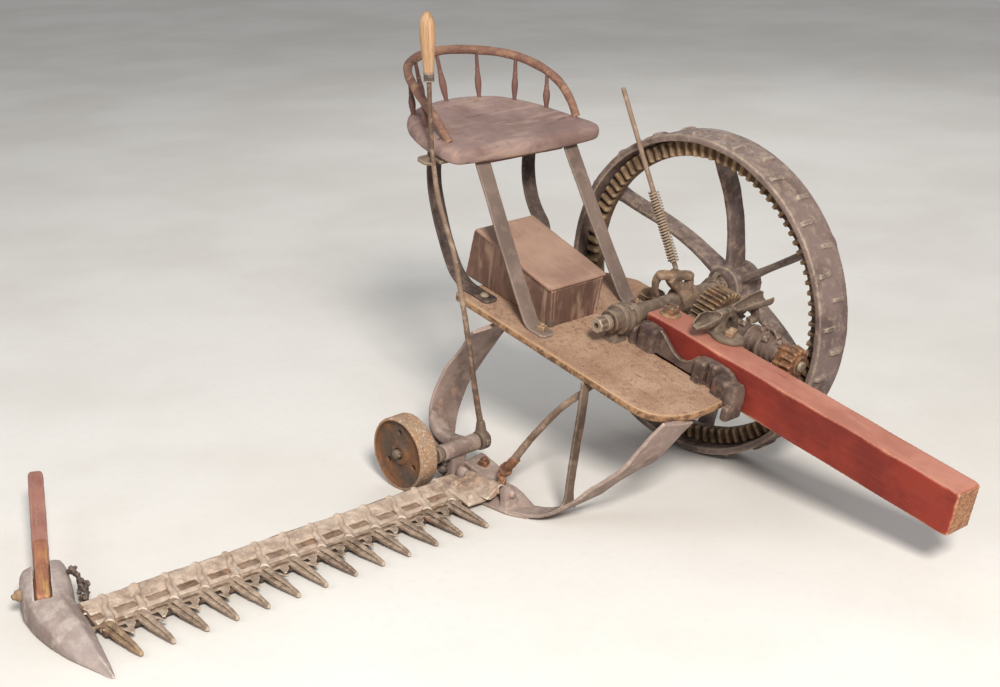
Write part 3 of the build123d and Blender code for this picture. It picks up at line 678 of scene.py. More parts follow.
def board_dust():
    """Bare tan platform timber, speckled, with a worn golden front edge and faint marks along the grain."""
    g = Graph("wood_platform")
    v = g.mapping(g.obj, rot=ROT_CH)
    w = g.mapping(v, scale=(1, 0.10, 1))
    fine = g.noise(w, 170, 5, 0.65, 0.3)
    wave = g.noise(w, 26, 4, 0.55, 1.0)
    big = g.noise(v, 6, 6, 0.62, 0.3)
    mid = g.noise(v, 55, 7, 0.7, 0.4)
    spk = g.noise(v, 260, 5, 0.7)
    grit = g.noise(v, 620, 3, 0.6)
    col = g.mix(g.step(big, 0.36, 0.64), srgb(176, 146, 122), srgb(154, 122, 100))
    col = g.mix(g.step(wave, 0.48, 0.66, 0, 0.30), col, srgb(140, 108, 88))
    col = g.mix(g.step(fine, 0.50, 0.72, 0, 0.30), col, srgb(134, 102, 82))
    col = g.mix(g.step(mid, 0.50, 0.64, 0, 0.65), col, srgb(132, 98, 78))
    col = g.mix(g.step(spk, 0.52, 0.64, 0, 0.65), col, srgb(112, 80, 62))
    col = g.mix(g.step(spk, 0.30, 0.42, 0.55, 0.0), col, srgb(204, 178, 148))
    col = g.mix(g.step(grit, 0.58, 0.70, 0, 0.5), col, srgb(92, 64, 50))
    pt = g.geo.outputs["Pointiness"]
    m = g.step(g.math("ADD", pt, g.math("MULTIPLY", g.math("SUBTRACT", mid, 0.5), 0.08)), 0.510, 0.545)
    col = g.mix(g.math("MULTIPLY", m, 0.85), col, srgb(180, 144, 106))
    nz = g.axis(g.geo.outputs["Normal"], 2)
    rim = g.mix(g.step(mid, 0.42, 0.60), srgb(152, 116, 84), srgb(84, 60, 46))
    col = g.mix(g.step(nz, 0.35, 0.72, 0.85, 0.0), col, rim)
    crack = g.math("MULTIPLY", g.step(g.noise(w, 90, 4, 0.5, 0.5), 0.655, 0.70), g.step(g.noise(v, 9, 3, 0.5), 0.50, 0.60))
    col = g.mix(g.math("MULTIPLY", crack, 0.55), col, srgb(70, 48, 38))
    h = g.math("ADD", g.math("MULTIPLY", spk, 0.45), g.math("ADD", g.math("MULTIPLY", fine, 0.35), g.math("MULTIPLY", grit, 0.2)))
    h = g.math("SUBTRACT", h, g.math("MULTIPLY", crack, 0.9))
    return g.done(col, g.step(mid, 0.35, 0.65, 0.9, 0.75), g.bump(h, 0.6, 0.0011), 0.0, 0.2)


WOOD_TONGUE = tongue_paint()
WOOD_PLATFORM = board_dust()
WOOD_SEAT = timber("wood_seat", "X", ROT_CH, bare=(srgb(153, 125, 112), srgb(132, 106, 95), srgb(106, 82, 73)), paint=srgb(145, 121, 114), paint_dark=srgb(123, 99, 93), cover=0.72,
                   worn_edge=srgb(171, 121, 91), edge_amount=0.85, cracks=0.7, dirt=srgb(112, 86, 78), dirt_amount=0.45, light=srgb(179, 156, 140), light_amount=0.4, seed=3)
WOOD_BOX = timber("wood_box", "Z", ROT_CH, bare=(srgb(140, 114, 100), srgb(114, 88, 78), srgb(80, 60, 54)), paint=srgb(122, 92, 78), paint_dark=srgb(92, 68, 58), cover=0.80,
                  worn_edge=srgb(164, 128, 112), edge_amount=0.7, cracks=0.5, light=srgb(166, 136, 116), light_amount=0.6, seed=4)
WOOD_LID = timber("wood_lid", "Y", ROT_CH, bare=(srgb(160, 130, 112), srgb(140, 110, 94), srgb(104, 78, 66)), paint=srgb(164, 134, 114), paint_dark=srgb(140, 110, 96), cover=0.85,
                  worn_edge=srgb(116, 84, 74), edge_amount=0.8, cracks=0.5, light=srgb(178, 140, 126), light_amount=0.4, seed=5)
WOOD_HOOP = timber("wood_hoop", "X", ROT_CH, bare=(srgb(158, 122, 96), srgb(134, 100, 80), srgb(100, 72, 58)), paint=srgb(128, 94, 80), paint_dark=srgb(108, 78, 68), cover=0.62,
                   worn_edge=srgb(176, 140, 112), edge_amount=0.5, cracks=0.4, light=srgb(178, 142, 112), light_amount=0.35, seed=6)
WOOD_SPINDLE = timber("wood_spindle", "Z", ROT_CH, bare=(srgb(138, 106, 92), srgb(114, 86, 76), srgb(84, 60, 54)), paint=srgb(112, 80, 72), paint_dark=srgb(88, 60, 56), cover=0.75,
                      worn_edge=srgb(162, 126, 106), edge_amount=0.6, cracks=0.3, seed=17)
WOOD_HANDLE = timber("wood_handle", "Z", (0, 0, 0), bare=(srgb(184, 150, 116), srgb(164, 128, 96), srgb(130, 98, 74)), cracks=0.6, dirt=srgb(124, 96, 74), dirt_amount=0.35,
                     rough=(0.5, 0.7), light=srgb(212, 186, 154), light_amount=0.35, seed=7)
STICK_ROT = (0, 0, radians(25))
WOOD_STICK = timber("wood_stick", "Y", STICK_ROT, bare=(srgb(178, 140, 124), srgb(156, 116, 102), srgb(116, 80, 70)), paint=srgb(160, 112, 98), paint_dark=srgb(138, 90, 80), cover=0.72,
                    worn_edge=srgb(182, 148, 130), edge_amount=0.8, cracks=0.7, light=srgb(172, 134, 118), light_amount=0.4, seed=8)
WOOD_STICK_FOOT = timber("wood_stick_foot", "Y", STICK_ROT, bare=(srgb(184, 144, 92), srgb(160, 116, 80), srgb(122, 82, 60)), paint=srgb(158, 104, 82), paint_dark=srgb(132, 82, 66), cover=0.62,
                         worn_edge=srgb(192, 146, 104), edge_amount=0.9, cracks=0.6, light=srgb(188, 138, 86), light_amount=0.5, seed=18)


# ------------------------------------------------------------------ drive wheel (WH frame, x along the axle)
def wheel_point(a, r, x=0.0):
    """Angle a in degrees from straight up, forward positive."""
    return (x, r * sin(radians(a)), r * cos(radians(a)))


k = Kit(WH)
RIM = [(395, -109), (396.5, -110), (411, -110), (413, -107.5), (413.6, -80), (414, -55), (413.6, -25), (413, -2.5), (411, 0), (396.5, 0), (395, -1),
       (395.5, -20), (396, -55), (395.5, -90)]
k.ring((0, 0, 0), (1, 0, 0), RIM, seg=144)
HUB = ((-246, 30), (-244, 34), (-233, 34.5), (-232, 50), (-228, 53), (-214, 53), (-208, 46), (-160, 46), (-152, 52), (-136, 53), (-132, 50), (-131.5, 40), (-129, 38), (-128.5, 28))
k.ring((0, 0, 0), (1, 0, 0), [(17.6, -246)] + [(r, h) for h, r in HUB] + [(17.6, -128.5)], seg=40)
SPOKE = ((42, -182, 66, 30), (60, -181.5, 65, 25), (110, -180, 62, 20), (150, -177, 61, 18.5), (180, -172, 60, 18), (215, -163, 59, 18), (250, -152, 58, 18), (285, -137, 57, 18.5), (320, -120, 56, 19), (360, -104, 55, 22), (385, -93, 58, 28), (398, -88, 64, 36))
for i in range(6):
    a = radians(2.5 + 60 * i)
    d = Vector((0, sin(a), cos(a)))
    pts, sc = [], []
    for j in range(29):
        r = lerp(42, 398, j / 28)
        x, w, t = table_at(SPOKE, r)
        pts.append(Vector((x, 0, 0)) + d * r)
        sc.append((w / 60, t / 20))
    side = d.cross(Vector((1, 0, 0)))
    k.strip(pts, [(-30, -3), (-29, -6.5), (-24, -8.5), (-12, -9.5), (12, -9.5), (24, -8.5), (29, -6.5), (30, -3), (30, 3), (29, 6.5), (24, 8.5), (12, 9.5), (-12, 9.5), (-24, 8.5), (-29, 6.5), (-30, 3)], side=(1, 0, 0), scale=sc)
for i in range(40):
    x0, x1 = ((-94, -44) if i % 2 else (-60, -7))
    a = i * 9.0
    q = k.at(Matrix.Rotation(radians(-a - 180), 4, "X") @ Matrix.Translation((0, 0, 413)))
    tilt = 1.2 * sin(i * 2.4)
    q.strip([(x0, tilt, -1.0), (x0 + 5, tilt, 4.0), (x0 + 14, tilt * 0.5, 6.3 + 0.5 * sin(i * 1.7)), (x1 - 12, -tilt * 0.5, 6.5 + 0.4 * cos(i * 2.9)), (x1 - 4, -tilt, 5.0), (x1, -tilt, -1.0)],
            rrect(13, 3.5, 1.2, 2), side=(0, 1, 0), scale=[(0.8, 1), (0.9, 1), (1, 1), (1, 1), (0.9, 1), (0.8, 1)])
    q.box(x0 + 8, x1 - 6, -5.2, 5.2, -3, 4.6)
piece("wheel_casting", k, "drive_wheel", IRON_RIM, stands=("drive_wheel",), voxel=3.2, smooth=2, rough=(0.7, 60), seed=3)

k = Kit(WH)
k.ring((0, 0, 0), (1, 0, 0), [(352, -60), (353.5, -61.5), (393, -61.5), (394.6, -60), (394.6, -45), (393, -44), (353.5, -44), (352, -45.5)], seg=120)
for i in range(90):
    q = k.at(Matrix.Rotation(radians(-(i + 0.5) * 4 - 180), 4, "X"))
    w0, w1 = 6.4 + 0.3 * sin(i * 1.3), 4.4 + 0.3 * cos(i * 2.1)
    q.rings([[(-46, -w0, 352.5), (-46, w0, 352.5), (-46, w0 + 0.6, 391), (-46, -w0 - 0.6, 391)], [(-34, -w0 + 0.6, 353), (-34, w0 - 0.6, 353), (-34, w0, 391), (-34, -w0, 391)],
             [(-29, -w1, 355), (-29, w1, 355), (-29, w1 + 0.6, 389), (-29, -w1 - 0.6, 389)], [(-28, -w1 + 1.2, 357), (-28, w1 - 1.2, 357), (-28, w1 - 0.6, 387), (-28, -w1 + 0.6, 387)]])
# the gear ring's darker iron is partly painted shade for the recess inside the rim
piece("wheel_gear_ring", k, "drive_wheel", IRON_GEAR, stands=("drive_wheel_crown_gear",), voxel=2.6, smooth=1, rough=(0.5, 40), seed=5)

# ------------------------------------------------------------------ axle and what is on it (CH frame)
k = Kit(CH)
k.lathe((-240, 0, 0), (1, 0, 0), ((0, 15), (2, 17), (527, 17), (528, 19), (530, 20), (544, 20), (545, 19.2)), seg=40)
OCT = []
for i in range(8):
    p0 = (20.6 * cos(pi / 8 + pi / 4 * i), 20.6 * sin(pi / 8 + pi / 4 * i))
    p1 = (20.6 * cos(pi / 8 + pi / 4 * (i + 1)), 20.6 * sin(pi / 8 + pi / 4 * (i + 1)))
    OCT += [(lerp(p0[0], p1[0], t), lerp(p0[1], p1[1], t)) for t in (0.05, 0.35, 0.65, 0.95)]
k.at(frame_at((0, 0, 0), (1, 0, 0))).rings([[(x * f, y * f, h) for x, y in OCT] for f, h in ((0.95, 302), (0.965, 304), (0.965, 325), (0.94, 328), (0.86, 330), (0.40, 330), (0.30, 329), (0.26, 323), (0.02, 322.5))])
k.lathe((-258, 0, 0), (1, 0, 0), ((0, 22), (2, 26), (9, 26), (11.5, 22)), seg=36)
k.cyl((-252, -34, 0), (-252, 34, 0), 3.2, seg=12)
piece("axle_bar", k, "chassis", STEEL_WORN, stands=("axle",), rough=(0.25, 25), seed=2)

k = Kit(CH)


def ring_on(kk, x0, x1, r, inner=17.4, c=2.0, o=(0, 0, 0), axis=(1, 0, 0), seg=44):
    kk.ring((o[0], o[1], o[2]), axis, [(inner, x0), (r - c, x0), (r, x0 + c), (r, x1 - c), (r - c, x1), (inner, x1)], seg=seg)


for x0, x1, r in ((-122, -110.2, 33), (-109.8, -100.2, 27), (-99.8, -88.2, 32), (-87.8, -76.2, 28), (-75.8, -22, 22.5), (48, 196.4, 22.6), (196.2, 214.2, 30), (214, 226.7, 28.5), (226.4, 240.2, 38), (240, 246.6, 34.5),
                  (246.4, 262.2, 38), (262, 287, 29)):
    ring_on(k, x0, x1, r, c=3.0 if r > 29 else 2.2)
for x, r in ((-104.5, 30), (-94, 33.4), (-116, 34.2), (-82, 29.2), (-66, 24.4), (-40, 23.6)):
    ring_on(k, x - 1.7, x + 1.7, r, c=1.2)
k.nut((-94, 0, 31), (0, 0, 1), 13, 9, sides=4, stud=3.5, stud_h=3)
k.nut((-104, 18, 22), (0, 0.6, 0.8), 13, 9, sides=4, stud=3.5, stud_h=3)
k.nut((-116, -10, 32), (0, -0.3, 1), 12, 8, sides=4)
k.strip([(-122, -4, 33), (-112, -2, 40), (-100, 0, 43), (-88, 3, 38), (-80, 6, 29)], rrect(13, 8, 3), side=(0, 1, 0))
k.nut((234, 18, 32), (0, 0.45, 0.9), 11, 7, sides=4, stud=3)
k.at(Matrix.Translation((246, -6, 0))).rings([[(x, y, z) for x, y in rrect(w, d, 8, 4)] for z, w, d in ((-59.6, 54, 44), (-56, 50, 40), (-44, 40, 34), (-28, 36, 34), (-10, 34, 40))])
piece("axle_collars_cast", k, "chassis", IRON_BROWN, stands=("axle_collars",), voxel=1.6, smooth=1, rough=(0.4, 20), seed=7)

# clutch yoke: boss on the shaft, a column leaning up to a slanting cap, a short prong, and a hooked rear leg
k = Kit(CH)
ring_on(k, -20, 46, 34.5, 17.4, 6)
ring_on(k, -22, -12, 30, 17.4, 3)
k.rings([[(13 + x * 1.0, -10 + y, z) for x, y in rrect(w, d, 9, 4)] for z, w, d in ((-59.6, 66, 46), (-55, 62, 43), (-44, 56, 40), (-30, 56, 44), (-10, 58, 50))])
k.strip(spline([(10, 4, 8), (24, -2, 22), (40, -9, 38), (54, -12, 50), (66, -14, 64)], 6), rrect(28, 30, 7, 4), side=(0, 1, 0), scale=[(lerp(1.25, 0.92, i / 24), lerp(1.25, 0.86, i / 24)) for i in range(25)])
k.strip(spline([(14, 10, 24), (16, 8, 36), (15, 5, 50), (14, 2, 66)], 6), rrect(16, 22, 5, 4), side=(1, 0, 0), scale=[(lerp(1.3, 0.95, i / 18), lerp(1.2, 0.9, i / 18)) for i in range(19)])
k.strip(spline([(86, -34, 66), (88, -39, 52), (87, -41, 36), (84, -40, 20), (78, -37, 8)], 6), rrect(13, 20, 4, 4), side=(1, 0, 0), scale=[(lerp(1.1, 0.8, i / 24), lerp(1.1, 0.8, i / 24)) for i in range(25)])
CAPM = Matrix.Translation((50, -14.5, 0)) @ Matrix.Rotation(radians(-26), 4, "Z")
q = k.at(CAPM)
capo = rrect(100, 32, 13, 7)
q.rings([[(x, y, z) for x, y in inset(capo, i)] for z, i in ((58.6, 5), (60.2, 1.8), (63, 0.2), (70, 0), (73, 1.2), (75.0, 4), (75.8, 8))])
q.strip(spline([(-42, -1, 62), (-46, -2, 52), (-45, -3, 42), (-40, -3, 36)], 5), rrect(20, 13, 4, 4), side=(0, 1, 0))
k.rings([[(35 + x, -20 + y, z) for x, y in rrect(w, d, 6, 4)] for z, w, d in ((60.4, 20, 36), (63, 22, 38), (71, 22, 38), (73.6, 18, 34))])
k.nut(CAPM @ Vector((30, 1, 73)), (0, 0, 1), 13, 6, sides=4, stud=4, stud_h=3)
piece("clutch_yoke_cast", k, "chassis", IRON_YOKE, stands=("clutch_yoke",), voxel=1.5, smooth=2, rough=(0.6, 20), seed=8)

# control rod with its coiled spring
ROD_A, ROD_B = Vector((34, -31, 78.32)), Vector((18, -322, 448))
k = Kit(CH)
rd = (ROD_B - ROD_A)
RL = rd.length
k.lathe(ROD_A, rd, ((-6, 4.8), (-3, 5.8), (0, 6.2), (RL * 0.45, 6.0), (RL * 0.8, 6.2), (RL - 8, 6.4), (RL - 2, 5.6), (RL, 3)), seg=20)
piece("control_rod_bar", k, "chassis", IRON_ROD, stands=("control_rod",), rough=(0.35, 30), seed=9)
k = Kit(CH)
turns, start, end = 25, 0.03, 0.42
pts = []
fm = frame_at(ROD_A, rd)
for i in range(turns * 14 + 1):
    a = 2 * pi * i / 14
    h = RL * lerp(start, end, i / (turns * 14))
    rr = 11.9 + 0.35 * sin(i * 0.05)
    pts.append(fm @ Vector((rr * cos(a), rr * sin(a), h)))
k.tube(pts, 2.35, seg=8)
piece("control_spring_coil", k, "chassis", IRON_ROD, stands=("control_spring",))

# ------------------------------------------------------------------ tongue and its irons (CH frame)


def wooden(name, kit, body, mat, stands=(), voxel=2.5, smooth=1, rough=(0.5, 40), seed=1, decimate=None):
    return piece(name, kit, body, mat, stands=stands, voxel=voxel, smooth=smooth, rough=rough, seed=seed, decimate=decimate)


k = Kit(CH)
rings = []
for j in range(70):
    u = lerp(32, 950, j / 69)
    e = 0.8 * sin(u * 0.013) + 0.5 * sin(u * 0.041)
    c = 5 + 1.2 * sin(u * 0.019 + 1)
    f = 2.5 if j in (0, 69) else 0
    x0, x1, w0, w1 = 104 + f, 190 - f, -90 + f, 20 + e * 0.4 - f
    rings.append([(x0 + c, u, w0), (x1 - c, u, w0), (x1 - 1.2, u, w0 + 1.2), (x1, u, w0 + c), (x1, u, w1 - c), (x1 - 1.3, u, w1 - 1.3), (x1 - c, u, w1), (x0 + c, u, w1), (x0 + 1.3, u, w1 - 1.3), (x0, u, w1 - c), (x0, u, w0 + c), (x0 + 1.2, u, w0 + 1.2)])
k.rings(rings)
wooden("tongue_timber", k, "chassis", WOOD_TONGUE, stands=("tongue",), voxel=3.2, smooth=1, rough=(0.45, 70), seed=11)

k = Kit(CH)
k.lathe((146, 70, 20.2), (0, 0, 1), ((0, 26), (2.0, 27), (4.2, 24.5), (5, 18)), seg=36)
q = k.at(Matrix.Translation((146, 70, 24)) @ Matrix.Rotation(0.12, 4, "Z"))
q.rbox(-17, 17, -15, 15, 0, 13, 3)
q.rbox(-15.5, -6.5, -13.5, 13.5, 10, 21, 3)
q.rbox(6.5, 15.5, -13.5, 13.5, 10, 20, 3)
q.cyl((0, 0, 8), (0, 0, 17), 5.5, 5, seg=16)
piece("tongue_nut_plate", k, "chassis", IRON_TAN, stands=("tongue_plate",), voxel=1.2, smooth=1, rough=(0.3, 12), seed=12)

# wavy cast bracket with its folded lobes
k = Kit(CH)
TOPLINE = ((20, -22), (27, -8), (36, 1), (48, 6), (70, 8), (92, 6), (106, -1), (124, -15), (146, -32), (168, -40), (190, -37), (208, -24), (222, -8), (234, 0), (258, 3), (286, 4), (310, 3), (326, -2), (338, -12), (345, -28))


def pad(kk, u0, u1, x0, x1, w0=-59.2, drop=0.0, r=8, lean=0.0, round_top=9.0, foot=0.0):
    """A rounded pad that stands out of the plate from x0 to x1; its top is rolled over."""
    um, hu = (u0 + u1) / 2, (u1 - u0) / 2
    rings = []
    for j in range(15):
        t = j / 14
        top = min(table_at(TOPLINE, u0 + 4)[0], table_at(TOPLINE, um)[0], table_at(TOPLINE, u1 - 4)[0]) - drop
        w = lerp(w0, top, t)
        up_ = max(0, (w - (top - round_top)) / round_top)
        ins = round_top * (1 - sqrt(max(0, 1 - up_ * up_ * 0.98)))
        low = foot * max(0, 1 - t / 0.12)
        sx_, sy_ = (x1 - x0) - ins, (u1 - u0) - 1.1 * ins
        rings.append([(px + (x0 + x1) / 2 - ins * 0.35 + lean * (1 - t), py + um, w) for px, py in rrect(sx_ + low, sy_ + low, min(r, sx_ / 2.1, sy_ / 2.1), 4)])
    kk.rings(rings)


rings = []
for j in range(90):
    u = lerp(20, 345, j / 89)
    top = table_at(TOPLINE, u)[0]
    rings.append([(190.9, u, -59.2), (206, u, -59.2), (207.5, u, -57.5), (205.5, u, top - 16), (205.5, u, top - 7), (204.2, u, top - 2), (200, u, top + 0.4), (195, u, top), (191.8, u, top - 2.5), (190.9, u, top - 6)])
k.rings(rings)
pad(k, 21, 37, 196, 228, drop=3, r=6, round_top=7)
pad(k, 41, 96, 197, 224, r=9, round_top=11, foot=3)
pad(k, 227, 262, 197, 226, r=8, round_top=9, lean=2, foot=3)
pad(k, 266, 290, 197, 218, drop=1, r=7, round_top=8)
pad(k, 292, 343, 197, 234, r=12, round_top=13, foot=3)
# thin rolled lip along the top
lip = [(203.5, u, table_at(TOPLINE, u)[0] - 1.5) for u in [lerp(98, 226, q / 24) for q in range(25)]]
k.tube(lip, 3.4, seg=10)
# tail that folds down over the platform's edge
k.rbox(192, 250, 349, 370, -100, -62, 6)
k.rings([[(x, y, z) for x, y in [(192 + 1, 336), (232 - i, 336), (236 - i, 344), (234 - i, 366 - i), (226 - i, 370 - i), (192 + 1, 370 - i)]] for z, i in ((-66, 0), (-50, 0), (-34, 2), (-22, 6), (-16, 12))])
k.nut((224, 250, -44), (1, 0, 0), 10, 4, sides=4)
k.nut((232, 318, -30), (1, 0, 0), 9, 3, sides=6)
k.cyl((208, 320, -50), (216, 330, -86), 9, 12, seg=18)
bracket = piece("tongue_bracket_cast", k, "chassis", IRON_CAST, stands=("tongue_bracket",), voxel=1.7, smooth=2, rough=(0.5, 34), seed=13)
# dished iron cup behind the axle
k = Kit(CH)
cup_o = (22, -96, -59.8)
k.lathe(cup_o, (0, 0, 1), ((0, 16), (4, 17), (12, 15), (20, 20), (26, 29), (30, 34), (33, 35.5), (34.5, 34), (33, 31), (27, 24), (22, 15), (20, 5), (20, 0.3)), seg=40, squash=0.86)
k.lathe((22, -96, -41), (0, 0, 1), ((0, 10), (9, 9), (16, 6), (18, 2)), seg=18)
piece("axle_oil_cup", k, "chassis", IRON_GEAR, voxel=1.5, smooth=1, rough=(0.8, 14), seed=29)

# ------------------------------------------------------------------ gearing ahead of the axle (CH frame, shaft along u at x 20, w 0)
SX, SW = 20.0, 0.0
SHAFT = (SX, 0, SW)
k = Kit(CH)
k.lathe((SX, 0, SW), (0, 1, 0), ((66, 10), (68, 13), (388, 13), (391, 11.5), (392, 8)), seg=32)
piece("countershaft_bar", k, "chassis", STEEL_WORN, stands=("countershaft",), rough=(0.2, 25), seed=14)


def gear(kk, o, axis, u0, u1, r_root, r_tip, n, inner, w_root, w_tip, r_back=None, turn=0.0):
    """Straight-toothed wheel: n rounded teeth between u0 and u1 along axis from o."""
    ring_on(kk, u0, u1, r_root + 0.8, inner, 1.5, o, axis, 72)
    m = frame_at(o, axis)
    for i in range(n):
        q = kk.at(m @ Matrix.Rotation(2 * pi * i / n + turn, 4, "Z"))
        sec = []
        for x, w in ((r_root - 2, w_root), (lerp(r_root, r_tip, 0.6), lerp(w_root, w_tip, 0.55)), (r_tip - 1, w_tip), (r_tip, w_tip * 0.6)):
            sec.append((x, w / 2))
        sec = sec + [(x, -y) for x, y in reversed(sec)]
        q.rings([[(x, y, u0 + 0.6) for x, y in sec], [(x, y, u1 - 0.6) for x, y in sec]])


k = Kit(CH)
gear(k, SHAFT, (0, 1, 0), 86, 146, 67.5, 80, 34, 13.4, 7.6, 4.6)
ring_on(k, 80, 86, 34, 13.4, 2, SHAFT, (0, 1, 0))
piece("ribbed_gear_cast", k, "chassis", IRON_GEAR, stands=("ribbed_gear",), voxel=1.7, smooth=1, rough=(0.4, 18), seed=15)

k = Kit(CH)
for u0, u1, r in ((196, 222, 30), (222.2, 228, 36), (228, 236, 38), (236.4, 249, 33), (249, 262.2, 31), (262, 268, 37), (268, 276.2, 39), (276, 291, 33), (291, 306.2, 31), (306, 326, 27)):
    ring_on(k, u0, u1, r, 13.4, 1.8, SHAFT, (0, 1, 0))
for u, a, r, sz, h, st in ((208, 40, 29, 15, 11, 4.5), (212, 150, 29, 14, 9, 4), (255, 62, 31, 15, 10, 5), (284, 25, 32, 16, 12, 5), (298, 78, 31, 14, 11, 4), (316, 50, 26, 13, 9, 4)):
    d = Vector((-sin(radians(a - 60)), 0, cos(radians(a - 60))))
    k.nut(Vector((SX, u, SW)) + d * (r - 2), d, sz, h + 2, sides=4, turn=15 * sin(u), stud=st, stud_h=3)
k.strip([(SX - 8, 244, 33), (SX - 10, 262, 44), (SX - 9, 288, 46), (SX - 6, 304, 33)], rrect(15, 8, 3), side=(1, 0, 0))
piece("clutch_halves_cast", k, "chassis", IRON_CAST, stands=("clutch_collars",), voxel=1.6, smooth=2, rough=(0.5, 16), seed=16)

k = Kit(CH)
ring_on(k, 326.6, 352, 33, 13.4, 3, SHAFT, (0, 1, 0))
m = frame_at(SHAFT, (0, 1, 0))
for i in range(4):
    q = k.at(m @ Matrix.Rotation(2 * pi * i / 4 + 0.35, 4, "Z"))
    q.rbox(24, 39, -12, 12, 327, 350, 4)
for i in range(12):
    q = k.at(m @ Matrix.Rotation(2 * pi * i / 12, 4, "Z"))
    q.rings([[(26, -5.6, 350), (40, -4.0, 350), (42.5, -2.2, 351), (42.5, 2.2, 351), (40, 4.0, 350), (26, 5.6, 350)],
             [(20, -5.2, 379.5), (36, -3.6, 379.5), (38.5, -2.0, 378.5), (38.5, 2.0, 378.5), (36, 3.6, 379.5), (20, 5.2, 379.5)]])
k.ring(SHAFT, (0, 1, 0), [(13.4, 350), (35, 350), (32, 380), (13.4, 380)], seg=40)
k.ring(SHAFT, (0, 1, 0), [(13.2, 378), (24, 378), (25.5, 380), (25.5, 384), (24, 386), (13.2, 386)], seg=40)
piece("bevel_pinion_cast", k, "chassis", IRON_ORANGE, stands=("bevel_pinion",), voxel=1.6, smooth=2, rough=(0.9, 14), seed=17)

k = Kit(CH)
ring_on(k, 150, 190, 29, 13.4, 4, SHAFT, (0, 1, 0))
k.strip([(SX + 14, 170, -14), (SX + 40, 170, -20), (SX + 64, 170, -20), (103.6, 170, -16)], rrect(34, 28, 8, 4), side=(0, 1, 0), scale=[(0.9, 1), (0.8, 0.8), (0.85, 0.9), (1.05, 1.25)])
k.rbox(95, 103.7, 148, 192, -40, 12, 4)
k.nut((95, 158, -14), (-1, 0, 0), 14, 7, stud=4, stud_h=3)
k.nut((95, 182, -14), (-1, 0, 0), 14, 7, stud=4, stud_h=3)
k.nut((SX, 170, 28), (0, 0, 1), 13, 7, sides=4, stud=4)
piece("shaft_bearing_cast", k, "chassis", IRON_BROWN, stands=("shaft_bearing",), voxel=2.0, smooth=2, rough=(0.5, 20), seed=18)

# guard over the gears: two spoon-shaped lobes joined at a neck, on an arched stand with an oval foot
k = Kit(CH)


def spoon(kk, path, halfs, lip, turn0, turn1):
    """Open trough swept along a path: half widths, wall lip, and the sweep of its wall in degrees."""
    rings = []
    P = [Vector(p) for p in path]
    for i, p in enumerate(P):
        t = (P[min(i + 1, len(P) - 1)] - P[max(i - 1, 0)]).normalized()
        s = Vector((0, 1, 0))
        s = (s - t * s.dot(t)).normalized()
        n = t.cross(s)
        R = halfs[i]
        outer, inner = [], []
        for j in range(11):
            a = radians(lerp(turn0, turn1, j / 10))
            outer.append(tuple(p + s * (R * cos(a)) + n * (R * sin(a) * 0.8)))
            inner.append(tuple(p + s * ((R - lip) * cos(a)) + n * ((R - lip) * sin(a) * 0.8)))
        rings.append(outer + inner[::-1])
    kk.rings(rings)


LOBE_A = [(204, 193, 58), (190, 193, 62), (172, 192, 65), (152, 190, 67), (132, 189, 68), (112, 188, 68)]
LOBE_B = [(66, 188, 68), (40, 188, 70), (10, 188, 72), (-20, 188, 74), (-46, 188, 75), (-64, 188, 75), (-71, 188, 75)]
sa = spline(LOBE_A, 4)
sb = spline(LOBE_B, 4)
ra = [table_at(((0, 9), (0.2, 17), (0.5, 25), (0.75, 24), (1, 11)), i / (len(sa) - 1))[0] for i in range(len(sa))]
rb = [table_at(((0, 10), (0.2, 17), (0.5, 24), (0.8, 26), (0.95, 20), (1, 9)), i / (len(sb) - 1))[0] for i in range(len(sb))]
spoon(k, sa, ra, 4.5, -25, 205)
spoon(k, sb, rb, 4.5, -25, 205)
k.strip(spline([(116, 188, 70), (100, 188, 71), (84, 188, 70), (62, 188, 72)], 5), rrect(24, 13, 5, 4), side=(0, 1, 0))
k.tube(spline([(205, 193, 56), (197, 193, 60), (186, 193, 62)], 4), [7.5] * 9, seg=16)
# arched stand with its foot
k.strip(spline([(92, 189, 66), (104, 192, 52), (113, 198, 38), (116, 206, 28)], 6), rrect(36, 20, 8, 4), side=(1, 0, 0), scale=[(lerp(0.8, 1.35, i / 18), 1) for i in range(19)])
k.strip(spline([(80, 189, 66), (62, 190, 52), (54, 190, 34), (52, 190, 14)], 6), rrect(26, 18, 7, 4), side=(0, 1, 0))
k.strip(spline([(-18, 188, 66), (-26, 189, 50), (-32, 190, 34), (-30, 190, 22), (-12, 188, 22)], 6), rrect(22, 14, 5, 4), side=(0, 1, 0))
k.at(Matrix.Translation((114, 228, 0)) @ Matrix.Rotation(0.25, 4, "Z")).rings(
    [[(x, y, z) for x, y in circle(r, 40, 1, 1.22)] for z, r in ((20.3, 33), (25, 35), (31, 34), (35, 29), (36.5, 20))])
k.rbox(86, 140, 180, 214, 20.4, 34, 8)
piece("gear_guard_cast", k, "chassis", IRON_BROWN, stands=("gear_guard",), voxel=1.8, smooth=3, rough=(0.5, 22), seed=19)
k = Kit(CH)
k.at(Matrix.Translation((116, 236, 0)) @ Matrix.Rotation(0.3, 4, "Z")).rbox(-17, 17, -10, 10, 35, 50, 3)
k.cyl((116, 236, 48), (116, 236, 54), 6, 5, seg=16)
piece("gear_guard_nut", k, "chassis", IRON_TAN, voxel=1.1, smooth=1, rough=(0.3, 9), seed=20)

# ------------------------------------------------------------------ platform (CH frame)


